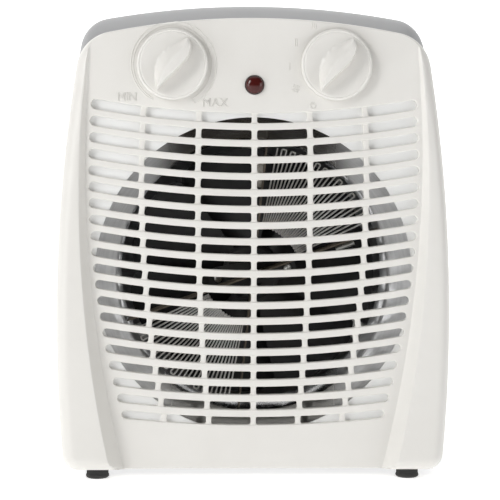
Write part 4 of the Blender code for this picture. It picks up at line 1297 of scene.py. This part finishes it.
seat = SCREW_SEAT_Y + GAP
places = [(side * SCREW_X, seat, z) for z in SCREW_HEIGHTS for side in (-1, 1)]
names = [f"shell_screw_{number}" for number in (1, 2, 3, 4)]
screws("long_shell_screws", names, places, (0.0032, 0.0024, 0.0015, 0.0155), True)
CLAMP_TURN = math.radians(9)
CLAMP_SCREW = 0.022
clamp_front = -0.0220 + GAP
places = []
for side in (-1, 1):
    x, z = around((0.0, OUTLET_Z), side * CLAMP_SCREW, CLAMP_TURN)
    places.append((x, clamp_front - GAP, z))
names = ["clamp_screw_1", "clamp_screw_2"]
screws("cross_head_clamp_screws", names, places, (0.0027, 0.0018, 0.0015, 0.0038), False)
MOTOR_SCREW = 0.020
motor_front = 0.0083 - GAP
places = [(side * MOTOR_SCREW, motor_front, OUTLET_Z) for side in (-1, 1)]
names = ["motor_screw_1", "motor_screw_2"]
screws("long_motor_screws", names, places, (0.0030, 0.0022, 0.0015, 0.0450), False)
DUCT_MOUTH = 0.0980
DUCT_MOUTH_REAR = -0.042
DUCT_RADIUS = 0.0835
DUCT_SHEET = 0.0008
FLANGE_RADIUS = 0.1078
flange_middle = (DUCT_RADIUS + DUCT_SHEET + FLANGE_RADIUS) / 2
bracket_rear = 0.0098
places = []
for turn in np.radians((90, 210, 330)):
    x, z = around((0.0, OUTLET_Z), flange_middle, turn)
    places.append((x, bracket_rear + GAP, z))
names = ["bracket_screw_1", "bracket_screw_2", "bracket_screw_3"]
screws("bracket_flange_screws", names, places, (0.0027, 0.0020, 0.0015, 0.0130), True)

# ---- Duct ring ----------------------------------------------------------------------------------
# Bright tin-plated sheet spun to a throat round the fan and a wide cone behind the outlet, with a flange
# turned out at its rear for the motor bracket. Its front edge follows the curved panel. Painted reflection:
# its two sides are painted a bright, mostly matt white and its top and bottom a grey mirror.
tin = Finish("bright_sheet")
streaks = tin.noise(260.0, 4.0, tin.stretched((0.25, 6.0, 0.25)))
ripple = tin.noise(38.0, 2.0, tin.stretched((1.0, 0.5, 1.0)))
# Painted reflection: 0 across the top and bottom of the ring, which stay a grey mirror, 1 at its two sides,
# painted a bright, mostly matt white.
painted_bright_sides = tin.node("ShaderNodeMath", {"operation": "ABSOLUTE"}, {0: tin.part(0)}).step(0.040, 0.066)
tinned = tin.mixed(streaks.step(0.3, 0.75), (0.97, 0.98, 1.0), (0.86, 0.87, 0.89))
bright_sheet = tin.surface(
    Base_Color=tin.mixed(painted_bright_sides, (0.42, 0.42, 0.42), tinned),
    Metallic=1.0 - painted_bright_sides * 0.75,
    Roughness=0.10 + streaks * 0.16,
    Normal=tin.bump(ripple * 8.0 + streaks, 0.00004, 0.8),
)
sectors = 192
inner = DUCT_RADIUS
outer = inner + DUCT_SHEET
mouth = DUCT_MOUTH
lip = mouth + DUCT_SHEET
behind_panel = 0.006
rear = 0.008
points = []
for i in range(sectors):
    turn = 2 * math.pi * i / sectors
    across = math.cos(turn)
    up = math.sin(turn)
    front = float(panel_y(lip * across, OUTLET_Z + lip * up)) + behind_panel + GAP
    wave = 0.00012 * math.sin(turn * 9)
    section = [(mouth + 0.0002, front + 0.0001), (mouth + 0.0004, front), (lip - 0.0002, front + 0.0001)]
    section += [(lip, front + 0.0004), (outer + 0.0013, DUCT_MOUTH_REAR - 0.0008)]
    section += [(outer + 0.0003, DUCT_MOUTH_REAR + 0.0003), (outer, DUCT_MOUTH_REAR + 0.0016)]
    section += [(outer + wave, -0.015), (outer, rear - 0.0016)]
    section += [(outer + 0.0004, rear - 0.0009), (outer + 0.0009, rear - 0.0008)]
    section += [(FLANGE_RADIUS - 0.0002, rear - 0.0008), (FLANGE_RADIUS, rear - 0.0006)]
    section += [(FLANGE_RADIUS, rear - 0.0002), (FLANGE_RADIUS - 0.0002, rear), (inner + 0.0006, rear)]
    section += [(inner + 0.0001, rear - 0.0004), (inner, rear - 0.0012), (inner + wave, -0.015)]
    section += [(inner, DUCT_MOUTH_REAR + 0.0016), (inner + 0.0003, DUCT_MOUTH_REAR + 0.0003)]
    section += [(inner + 0.0013, DUCT_MOUTH_REAR - 0.0008), (mouth, front + 0.0004)]
    points += [(r * across, y, OUTLET_Z + r * up) for r, y in section]
numbers = numbered(sectors, len(section))
polygons = []
for first, second in zip(numbers, numbers[1:] + numbers[:1]):
    polygons += band(first, second)
duct = linked_object("rolled_duct", smooth_mesh("rolled_duct", points, polygons), bright_sheet)
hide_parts("duct_ring")
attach(duct, "housing")

# ---- Mica boards --------------------------------------------------------------------------------
# Two boards of pressed mica, half-lapped across the duct, with a row of punched holes along the front where
# the heating ribbon is threaded, and small tabs at their ends.
BOARD_TURNS = (math.radians(20), math.radians(84))
BOARD_FRONT = -0.044
BOARD_REAR = -0.022
BOARD_SHEET = 0.0008
ELEMENT_Y = -0.0335
mica_paint = Finish("mica")
flakes = mica_paint.node(
    "ShaderNodeTexVoronoi", {"feature": "F1"}, {"Vector": mica_paint.place, "Scale": 520.0}, out=0
)
layers = mica_paint.noise(70.0, 5.0, distortion=1.2)
mica = mica_paint.surface(
    Base_Color=mica_paint.mixed(layers.step(0.3, 0.7), (0.20, 0.165, 0.125), (0.105, 0.085, 0.065)),
    Roughness=0.38 + flakes * 0.35,
    Specular_IOR_Level=0.6,
    Normal=mica_paint.bump(flakes + layers * 2.0, 0.00003, 0.7),
)
board_half = DUCT_RADIUS - 3 * GAP
half_sheet = BOARD_SHEET / 2
notch_half = (half_sheet + GAP) / math.sin(BOARD_TURNS[1] - BOARD_TURNS[0]) + half_sheet
board_middle = (BOARD_FRONT + BOARD_REAR) / 2
ends = 0.003
punched = []
for side in (-1, 1):
    for step in range(7):
        centre = (side * (0.032 + step * 0.0076), ELEMENT_Y)
        punched.append(oval(centre, 0.0027, 0.0009, round_steps=5)(0.0))
    punched.append(disc((side * 0.018, -0.030), 0.0011, 12)(0.0))


def rolled_about(turn, along, y, offset):
    """Points given along and across a line, turned with it about the fan's axis."""
    x = along * math.cos(turn) - offset * math.sin(turn)
    return x, y, OUTLET_Z + (along * math.sin(turn) + offset * math.cos(turn))


for number, turn in enumerate(BOARD_TURNS, 1):
    front_notched = number == 1
    rim = [(-board_half, BOARD_FRONT + ends), (-board_half + ends, BOARD_FRONT)]
    if front_notched:
        rim += [(-notch_half, BOARD_FRONT), (-notch_half, board_middle + GAP)]
        rim += [(notch_half, board_middle + GAP), (notch_half, BOARD_FRONT)]
    rim += [(board_half - ends, BOARD_FRONT), (board_half, BOARD_FRONT + ends)]
    rim += [(board_half, BOARD_REAR - ends), (board_half - ends, BOARD_REAR)]
    if not front_notched:
        rim += [(notch_half, BOARD_REAR), (notch_half, board_middle - GAP)]
        rim += [(-notch_half, board_middle - GAP), (-notch_half, BOARD_REAR)]
    rim += [(-board_half + ends, BOARD_REAR), (-board_half, BOARD_REAR - ends)]

    def board_faces(along, y):
        return [rolled_about(turn, along, y, offset) for offset in (half_sheet, -half_sheet)]

    name = f"punched_board_{number}"
    board = linked_object(name, pierced_plate(name, rim, punched, 0.012, board_faces), mica)
    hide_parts(f"mica_board_{number}")
    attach(board, "housing")

# ---- Heating elements ---------------------------------------------------------------------------
# Bare nickel-chrome ribbon bent into hairpins, one in each narrow pair of sectors between the boards. The
# wire has dulled to brown and blue where it has been hot.
hot = Finish("resistance_ribbon")
heat = hot.noise(45.0, 3.0)
scale = hot.noise(800.0, 3.0)
tone = hot.mixed(heat.step(0.35, 0.65), (0.84, 0.83, 0.81), (0.62, 0.59, 0.55))
resistance_ribbon = hot.surface(
    Base_Color=hot.mixed((heat * scale).step(0.24, 0.40) * 0.4, tone, (0.36, 0.38, 0.44)),
    Metallic=0.6,
    Roughness=0.28 + scale * 0.30,
    Normal=hot.bump(scale, 0.00002, 0.6),
)
ELEMENT_INNER = 0.030
ELEMENT_OUTER = 0.0798
SECTOR = 54  # degrees from the first leg to the last


def ribbon_maker(tree, given):
    """Carries a thin upright strip along the zigzag, with its bends rounded."""
    path = tree.node("GeometryNodeMeshToCurve", values={"Mesh": given["Geometry"]})
    values = {"Curve": path, "Radius": given["Bend Radius"], "Count": 4, "Limit Radius": True}
    path = tree.node("GeometryNodeFilletCurve", {"mode": "POLY"}, values)
    values = {"Curve": path, "Normal": (0.0, 1.0, 0.0)}
    path = tree.node("GeometryNodeSetCurveNormal", {"mode": "FREE"}, values)
    values = {"Width": given["Depth"], "Height": given["Thickness"]}
    section = tree.node("GeometryNodeCurvePrimitiveQuadrilateral", {"mode": "RECTANGLE"}, values)
    values = {"Curve": path, "Profile Curve": section, "Fill Caps": True}
    return tree.node("GeometryNodeCurveToMesh", values=values)


for name, node, first in (
    ("hairpin_ribbon_upper", "heating_element_upper", 25),
    ("hairpin_ribbon_lower", "heating_element_lower", 205),
):
    base = bmesh.new()
    row = []
    legs = 27
    for leg in range(legs):
        turn = math.radians(first + SECTOR * leg / (legs - 1))
        sway = 0.0004 * math.sin(leg * 2.4)
        ends = (ELEMENT_INNER, ELEMENT_OUTER) if leg % 2 == 0 else (ELEMENT_OUTER, ELEMENT_INNER)
        for radius in ends:
            x, z = around((0.0, OUTLET_Z), radius, turn)
            row.append(base.verts.new((x, ELEMENT_Y + sway, z)))
    for start, end in zip(row, row[1:]):
        base.edges.new((start, end))
    mesh = bpy.data.meshes.new(name)
    base.to_mesh(mesh)
    base.free()
    sizes = {"Bend Radius": 0.0009, "Thickness": 0.0008, "Depth": 0.0042}
    element = grown(name, ribbon_maker, mesh, sizes, resistance_ribbon)
    smoothed(element.data, 50)
    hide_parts(node)
    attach(element, "housing")

# ---- Element clamp ------------------------------------------------------------------------------
# A black strip of phenolic board behind the crossing of the mica boards, with rounded ends and two holes.
CLAMP_SHEET = 0.0015
rim = oval((0.0, 0.0), 0.028, 0.007, straight=4, round_steps=8)(0.0)
clamp_holes = [disc((side * CLAMP_SCREW, 0.0), 0.0018, 20)(0.0) for side in (-1, 1)]


def clamp_faces(along, up):
    for y in (clamp_front, clamp_front + CLAMP_SHEET):
        yield rolled_about(CLAMP_TURN, along, np.full_like(along, y), up)


mesh = pierced_plate("clamp_strip", rim, clamp_holes, 0.006, clamp_faces)
clamp = linked_object("clamp_strip", mesh, black_plastic)
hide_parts("element_clamp")
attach(clamp, "housing")

# ---- Fan impeller -------------------------------------------------------------------------------
# Moulded in black glass-filled nylon: a cup-shaped hub pushed on the shaft and seven wide twisted blades.
nylon = Finish("impeller_nylon")
fibres = nylon.noise(900.0, 3.0, nylon.stretched((1.0, 2.5, 1.0)))
film = nylon.noise(50.0, 4.0)
impeller_nylon = nylon.surface(
    Base_Color=nylon.mixed(film.step(0.45, 0.75) * 0.5, (0.017, 0.017, 0.018), (0.055, 0.052, 0.048)),
    Roughness=0.40 + film * 0.22,
    Normal=nylon.bump(fibres, 0.00002, 0.6),
)
FAN_FRONT = -0.014
FAN_REAR = 0.004
FAN_RADIUS = 0.078
HUB = 0.0183
BLADES = 7
BLADE_SPANS = (math.radians(56), math.radians(52))  # at the axis and at the tip
fan_centre = (0.0, 0.0, OUTLET_Z)


def one_blade():
    """A blade along +X about the fan's axis: it leans, thins towards its edges and has round corners."""
    across = 18
    outward = 16
    corner_radius = 0.009
    points = []
    for face in (0.0, 1.0):
        for i in range(outward + 1):
            radius = between(HUB - 0.001, FAN_RADIUS, i / outward)
            span = between(*BLADE_SPANS, radius / FAN_RADIUS)
            corner = max(0.0, (radius - FAN_RADIUS) / corner_radius + 1)
            span *= 1 - 0.35 * (1 - math.sqrt(max(1 - corner**2, 0.0)))
            for k in range(across + 1):
                share = k / across
                turn = span * (share - 0.5)
                thick = 0.0016 * (0.35 + 0.65 * math.sin(math.pi * min(max(share, 0.02), 0.98)) ** 0.5)
                camber = 0.0012 * math.sin(math.pi * share)
                y = between(FAN_FRONT + 0.0024, FAN_REAR - 0.0022, share) - camber + (face - 0.5) * thick
                points.append((radius * math.cos(turn), y, radius * math.sin(turn)))
    size = (outward + 1) * (across + 1)
    polygons = []
    for face in (0, size):
        for i in range(outward):
            for k in range(across):
                a = face + i * (across + 1) + k
                polygons.append((a, a + 1, a + across + 2, a + across + 1))
    edge = [k for k in range(across + 1)]
    edge += [i * (across + 1) + across for i in range(1, outward + 1)]
    edge += [outward * (across + 1) + k for k in range(across - 1, -1, -1)]
    edge += [i * (across + 1) for i in range(outward - 1, 0, -1)]
    polygons += band(edge, [number + size for number in edge])
    return smooth_mesh("one_blade", points, polygons, 60)


def blade_ring(tree, given):
    """Stands one blade on each of a row of points, turned evenly round the fan's axis."""
    blade = tree.node("GeometryNodeObjectInfo", {}, {"Object": given["Blade"]}, out=4)
    turn = tree.vector(y=tree.node("GeometryNodeInputIndex") * given["Step"])
    values = {"Points": given["Geometry"], "Instance": blade, "Rotation": turn}
    blades = tree.node("GeometryNodeInstanceOnPoints", values=values)
    both = tree.tree.nodes.new("GeometryNodeJoinGeometry")
    hub = tree.node("GeometryNodeObjectInfo", {}, {"Object": given["Hub"]}, out=4)
    tree.tree.links.new(hub.socket, both.inputs[0])
    tree.tree.links.new(blades.socket, both.inputs[0])
    return Wire(both.outputs[0])


hub_section = [
    (0.0019, FAN_FRONT),
    (0.0062, FAN_FRONT),
    (0.0066, FAN_FRONT + 0.0008),
    (0.0088, FAN_FRONT + 0.0008),
    (0.0094, FAN_FRONT),
    (0.0158, FAN_FRONT + 0.0002),
    (HUB, FAN_FRONT + 0.0026),
    (HUB, FAN_REAR),
    (HUB - 0.002, FAN_REAR),
    (HUB - 0.002, FAN_FRONT + 0.006),
    (0.0050, FAN_FRONT + 0.006),
    (0.0046, FAN_REAR - 0.002),
    (0.0019, FAN_REAR - 0.002),
]
blade = linked_object("one_blade", one_blade())
hub = linked_object("one_hub", turned_mesh("one_hub", [softened(hub_section, 0.0006, True)], fan_centre, 72))
base = cloud_of("moulded_impeller", [fan_centre] * BLADES)
sizes = {"Blade": blade, "Hub": hub, "Step": -2 * math.pi / BLADES}
impeller = grown("moulded_impeller", blade_ring, base, sizes, impeller_nylon)
for helper in (blade, hub):
    bpy.data.objects.remove(helper, do_unlink=True)
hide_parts("fan_impeller")
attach(impeller, "fan")

# ---- Shaft, clip and rotor ----------------------------------------------------------------------
# A ground steel shaft with a chamfered tip, the toothed spring clip that holds the impeller on it, and the
# rotor: a stack of sheet rings with slanted aluminium bars, cast solid.
lathe_marks = (1.0, 30.0, 1.0)
polished = rolled_metal("ground_steel", (0.72, 0.72, 0.71), (0.60, 0.60, 0.60), 0.16, lathe_marks, 300.0)
SHAFT_RADIUS = 0.0016
SHAFT_FRONT = FAN_FRONT - 0.0030
SHAFT_REAR = 0.0510
profile = [(0.0, SHAFT_FRONT), (SHAFT_RADIUS, SHAFT_FRONT), (SHAFT_RADIUS, SHAFT_REAR), (0.0, SHAFT_REAR)]
mesh = turned_mesh("ground_shaft", [softened(profile, 0.0004)], fan_centre, 32)
shaft = linked_object("ground_shaft", mesh, polished)
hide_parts("motor_shaft")
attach(shaft, "fan")
CLIP_DEPTH = 0.0015
CLIP_RADIUS = 0.0040
CLIP_BORE = 0.0019
TEETH = 12
clip_front = FAN_FRONT - GAP - CLIP_DEPTH
points = []
for i in range(TEETH * 4):
    turn = 2 * math.pi * i / (TEETH * 4)
    x, z = around((0.0, OUTLET_Z), CLIP_RADIUS - (0.0004 if i % 4 in (2, 3) else 0.0), turn)
    bore_x, bore_z = around((0.0, OUTLET_Z), CLIP_BORE, turn)
    points += [(bore_x, clip_front, bore_z), (x, clip_front + 0.0004, z)]
    points += [(x, clip_front + CLIP_DEPTH, z), (bore_x, clip_front + CLIP_DEPTH, bore_z)]
numbers = numbered(TEETH * 4, 4)
polygons = []
for first, second in zip(numbers, numbers[1:] + numbers[:1]):
    polygons += band(first, second)
spring_clip = linked_object("toothed_clip", smooth_mesh("toothed_clip", points, polygons, 25), zinc_steel)
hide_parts("impeller_clip")
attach(spring_clip, "fan")


def stacked_sheet(name, light, dark):
    """Punched silicon steel sheets: fine lines along Y where one sheet ends, and a blue-brown film."""
    paint = Finish(name)
    line = paint.node("ShaderNodeMath", {"operation": "FRACT"}, {0: paint.part(1) * 2000.0})
    groove = line.step(0.0, 0.22) * (1 - line.step(0.78, 1.0))
    film = paint.noise(140.0, 4.0)
    tone = paint.mixed(film.step(0.35, 0.7), light, dark)
    return paint.surface(
        Base_Color=paint.mixed(groove, (0.03, 0.03, 0.03), tone),
        Metallic=0.85,
        Roughness=0.45 + film * 0.25,
        Normal=paint.bump(groove, 0.00008, 0.8),
    )


def finished(finish, *names):
    """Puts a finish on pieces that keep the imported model's shape."""
    for name in names:
        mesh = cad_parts[name].data
        mesh.materials.clear()
        mesh.materials.append(finish)


lamination_steel = stacked_sheet("lamination_steel", (0.24, 0.25, 0.27), (0.15, 0.14, 0.13))
finished(lamination_steel, "rotor_core", "stator_core")

# ---- Motor --------------------------------------------------------------------------------------
# A shaded-pole motor: a C-shaped stack with a coil of enamelled copper wire round its lower leg, two cast
# bars that carry sintered bronze bushes, and a pressed steel bracket with three arms to the duct's flange.
winding = Finish("enamelled_copper")
wander = winding.noise(120.0, 2.0)
wires = (winding.part(0) + wander * 0.0004) * 11000.0
turns = winding.node("ShaderNodeMath", {"operation": "SINE"}, {0: wires})
enamelled_copper = winding.surface(
    Base_Color=winding.mixed(turns.step(-1.0, 1.0), (0.22, 0.065, 0.022), (0.62, 0.26, 0.11)),
    Metallic=0.85,
    Roughness=0.30 + wander * 0.15,
    Coat_Weight=0.5,
    Coat_Roughness=0.15,
    Normal=winding.bump(turns, 0.0001, 0.8),
)
leg_low = OUTLET_Z - 0.0445
leg_high = leg_low + 0.012
coil_front = 0.021 - GAP
coil_rear = 0.037 + GAP
COIL_HALF = 0.0140
sections = 14
corner_steps = 6
inner_loop = [(coil_front, leg_low - GAP), (coil_rear, leg_low - GAP), (coil_rear, leg_high + GAP)]
inner_loop.append((coil_front, leg_high + GAP))
points = []
for i in range(sections + 1):
    thick = 0.0020 + 0.0064 * math.sin(math.pi * i / sections) ** 0.35
    for corner, start in zip(inner_loop, (180, 270, 0, 90)):
        for k in range(corner_steps + 1):
            y, z = around(corner, thick, math.radians(start + 90 * k / corner_steps))
            points.append((between(-COIL_HALF, COIL_HALF, i / sections), y, z))
for x in (COIL_HALF, -COIL_HALF):
    points += [(x, y, z) for y, z in inner_loop for _ in range(corner_steps + 1)]
numbers = numbered(sections + 3, 4 * (corner_steps + 1))
polygons = []
for first, second in zip(numbers, numbers[1:] + numbers[:1]):
    for face in band(first, second):
        corners = [i for k, i in enumerate(face) if points[i] not in [points[j] for j in face[:k]]]
        if len(corners) > 2:
            polygons.append(corners)
coil = linked_object("wound_coil", smooth_mesh("wound_coil", points, polygons, 50), enamelled_copper)
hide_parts("stator_coil")
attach(coil, "housing")

bronze = rolled_metal("sintered_bronze", (0.52, 0.37, 0.19), (0.38, 0.26, 0.13), 0.42, fine=1500.0, dirt=0.3)
cast = rolled_metal("cast_bar", (0.50, 0.50, 0.50), (0.36, 0.36, 0.36), 0.50, fine=500.0, dirt=0.4)
upright = (1.0, 1.0, 12.0)
pressed = rolled_metal("pressed_steel", (0.58, 0.58, 0.56), (0.44, 0.44, 0.42), 0.32, upright, 160.0)
finished(bronze, "front_bearing", "rear_bearing")
finished(cast, "front_bearing_bracket", "rear_bearing_bracket")
finished(pressed, "motor_bracket", "motor_nut_1", "motor_nut_2")

# ---- Thermal guards -----------------------------------------------------------------------------
# The round cut-out with its ceramic case stands on the steep board, and the fuse in its plated can under
# the flat one.
stoneware = Finish("ceramic_case")
speckle = stoneware.noise(900.0, 3.0)
ceramic_case = stoneware.surface(
    Base_Color=stoneware.mixed(speckle.step(0.4, 0.65), (0.66, 0.63, 0.57), (0.50, 0.47, 0.42)),
    Roughness=0.50 + speckle * 0.25,
    Normal=stoneware.bump(speckle, 0.00004, 0.7),
)
finished(ceramic_case, "thermal_cutout")
finished(zinc_steel, "thermal_fuse")

# ---- Thermostat, switch and lamp holder ---------------------------------------------------------
# Behind the panel: black phenolic bodies with turned brass spindles that reach into the knobs.
phenolic = moulded_plastic("phenolic", (0.034, 0.030, 0.027), (0.020, 0.018, 0.017), 0.34)
lathe_marks = (1.0, 40.0, 1.0)
turned_brass = rolled_metal("turned_brass", (0.70, 0.54, 0.25), (0.58, 0.44, 0.20), 0.24, lathe_marks, 200.0)
finished(phenolic, "thermostat_body", "switch_body", "lamp_body")
finished(turned_brass, "thermostat_spindle", "switch_spindle")

# ---- Knobs --------------------------------------------------------------------------------------
# White ABS like the panel: a disc with a fine rim line, and on it a leaf-shaped grip whose one side falls
# away softly while the other is a steep S. A small engraved triangle marks the pointing end.
KNOB_FRONT = -0.075
RIDGE_TURN = math.radians(240)
ridge_way = np.array((math.cos(RIDGE_TURN), math.sin(RIDGE_TURN)))
ridge_side = np.array((ridge_way[1], -ridge_way[0]))
ridge_half = KNOB_RADIUS * 0.857
knob_rear = float(panel_y(KNOB_X, KNOB_Z + KNOB_RADIUS)) - GAP
knob_face = knob_rear - 0.0040
knob_rise = knob_face - KNOB_FRONT


def full_side(share):
    return KNOB_RADIUS * 0.42 * np.sin(math.pi * np.clip(share, 0, 1) ** 1.05) ** 0.8


def steep_side(share):
    return KNOB_RADIUS * 0.30 * np.sin(math.pi * np.clip(share, 0, 1) ** 0.53) ** 1.3


def eased(value, low, high):
    share = np.clip((value - low) / (high - low), 0.0, 1.0)
    return share * share * (3 - 2 * share)


def pointer_mark(grow):
    """The small triangle on the grip: its corners, moved outwards by grow."""
    return [around((-0.0087, -0.0095), 0.0012 + 2 * grow, turn) for turn in np.radians((227, 347, 107))]


def knob_height(x, z):
    """How far the knob's front stands out from its plain face, about its own centre."""
    radius = np.hypot(x, z)
    along = x * ridge_way[0] + z * ridge_way[1]
    across = x * ridge_side[0] + z * ridge_side[1]
    share = (along / ridge_half + 1) / 2
    full = full_side(share)
    steep = steep_side(share)
    width = np.maximum(full + steep, 1e-6)
    place = (across + steep) / width
    on = (share > 0) & (share < 1) & (place > 0) & (place < 1)
    wall = np.clip((across + steep) / 0.0009, 0.0, 1.0)
    rise = np.sqrt(np.clip(1 - (1 - wall) ** 2, 0.0, 1.0))
    fall = 1 - eased(place, 0.42, 1.0)
    ends = np.sqrt(np.clip(1 - np.clip(np.abs(2 * share - 1), 0, 1) ** 14, 0.0, 1.0))
    swell = 1.0 - 0.10 * (2 * share - 1) ** 2
    ridge = np.where(on, knob_rise * rise * fall * ends * swell, 0.0)
    dish = -0.0005 * (1 - (radius / (KNOB_RADIUS * 0.90)) ** 2)
    dish = np.where(radius < KNOB_RADIUS * 0.90, dish, 0.0)
    rim_line = -0.00025 * np.exp(-(((radius / KNOB_RADIUS) - 0.915) / 0.012) ** 2)
    pointer = -0.00030 * inside_loop(pointer_mark(0.0), np.column_stack([np.ravel(x), np.ravel(z)]))
    engraved = np.reshape(pointer, np.shape(x))
    return np.maximum(ridge, 0.0) + np.where(ridge > 0.0005, 0.0, dish + rim_line) + engraved


shares = np.linspace(0.0, 1.0, 61)
knob_lines = []
for shift in (0.0, 0.00012, 0.0003, 0.0006, 0.0010):
    across = np.minimum(-steep_side(shares) + shift, full_side(shares) * 0.9)
    along = ridge_half * (2 * shares - 1)
    knob_lines.append((along, across))
for share_across in (0.45, 0.6, 0.75, 0.9, 1.0):
    across = between(-steep_side(shares), full_side(shares), share_across)
    knob_lines.append((ridge_half * (2 * shares - 1), across))
lines = []
for along, across in knob_lines:
    flat_line = along[:, None] * ridge_way + across[:, None] * ridge_side
    lines.append((False, [tuple(place) for place in flat_line]))
for grow in (-0.0001, 0.0001):
    lines.append((True, pointer_mark(grow)))
for radius in (0.89, 0.905, 0.915, 0.925, 0.94):
    lines.append((True, disc((0.0, 0.0), KNOB_RADIUS * radius, 96)(0.0)))
edge_round = 0.0011
rim_radius = KNOB_RADIUS - edge_round
flat, faces, marks = filled(disc((0.0, 0.0), rim_radius, 96)(0.0), [], lines, 0.0011)
skirt = []
for turn in np.radians((30, 60, 90)):
    skirt.append((rim_radius + edge_round * math.sin(turn), knob_face + edge_round * (1 - math.cos(turn))))
skirt += [(KNOB_RADIUS, knob_rear - 0.0004), (KNOB_RADIUS - 0.0004, knob_rear)]
skirt += [(0.0060, knob_rear), (0.0056, knob_rear - 0.0005), (0.0034, knob_rear - 0.0005)]
skirt += [(0.0033, KNOB_FRONT + 0.0034)]
for name, node, body, x in (
    ("thermostat_grip", "thermostat_knob", "thermostat_dial", -KNOB_X),
    ("function_grip", "function_knob", "function_dial", KNOB_X),
):
    front = knob_face - knob_height(flat[:, 0], flat[:, 1])
    points = [(x + a, y, KNOB_Z + c) for (a, c), y in zip(flat, front)]
    polygons = [tuple(face) for face in faces]
    ring = marks[0]
    for radius, y in skirt:
        after = range(len(points), len(points) + 96)
        points += [(a, y, c) for a, c in disc((x, KNOB_Z), radius, 96)(0.0)]
        polygons += band(ring, after)
        ring = after
    polygons.append(tuple(ring))
    knob = evenly_lit(linked_object(name, smooth_mesh(name, points, polygons, 46), white_plastic))
    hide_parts(node)
    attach(knob, body)

# ---- Neon lamp ----------------------------------------------------------------------------------
# A clear dark red polycarbonate lens pushed through the panel, with a flat-topped dome and a thin collar.
glow = Finish("red_lens")
# The lens's own colour is dark red. It is painted darker still where the dome turns away from the view:
# painted shade at its rim.
facing = glow.node("ShaderNodeLayerWeight", values={"Blend": 0.35}, out=1)
depth = glow.noise(300.0, 2.0)
red_lens = glow.surface(
    Base_Color=glow.mixed(facing.step(0.10, 0.80), (0.060, 0.004, 0.003), (0.010, 0.002, 0.002)),
    Roughness=0.13 + depth * 0.08,
    Specular_IOR_Level=0.45,
    Normal=glow.bump(depth, 0.00001, 0.3),
)
lamp_face = float(panel_y(0.0, LAMP_Z))
lamp_back = lamp_face + PLATE
collar = 0.0070
dome = [(0.0, lamp_face - 0.0036)]
for turn in np.radians((15, 30, 45, 60, 75, 90)):
    dome.append((LAMP_RADIUS * math.sin(turn), lamp_face - 0.0006 - 0.0030 * math.cos(turn)))
dome += [(LAMP_RADIUS, lamp_back + 0.0006), (collar, lamp_back + 0.0006)]
dome += [(collar, lamp_back + 0.0018), (0.0, lamp_back + 0.0018)]
lamp = linked_object("lamp_dome", turned_mesh("lamp_dome", [dome], (0.0, 0.0, LAMP_Z), 64), red_lens)
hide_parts("lamp_lens")
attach(lamp, "housing")
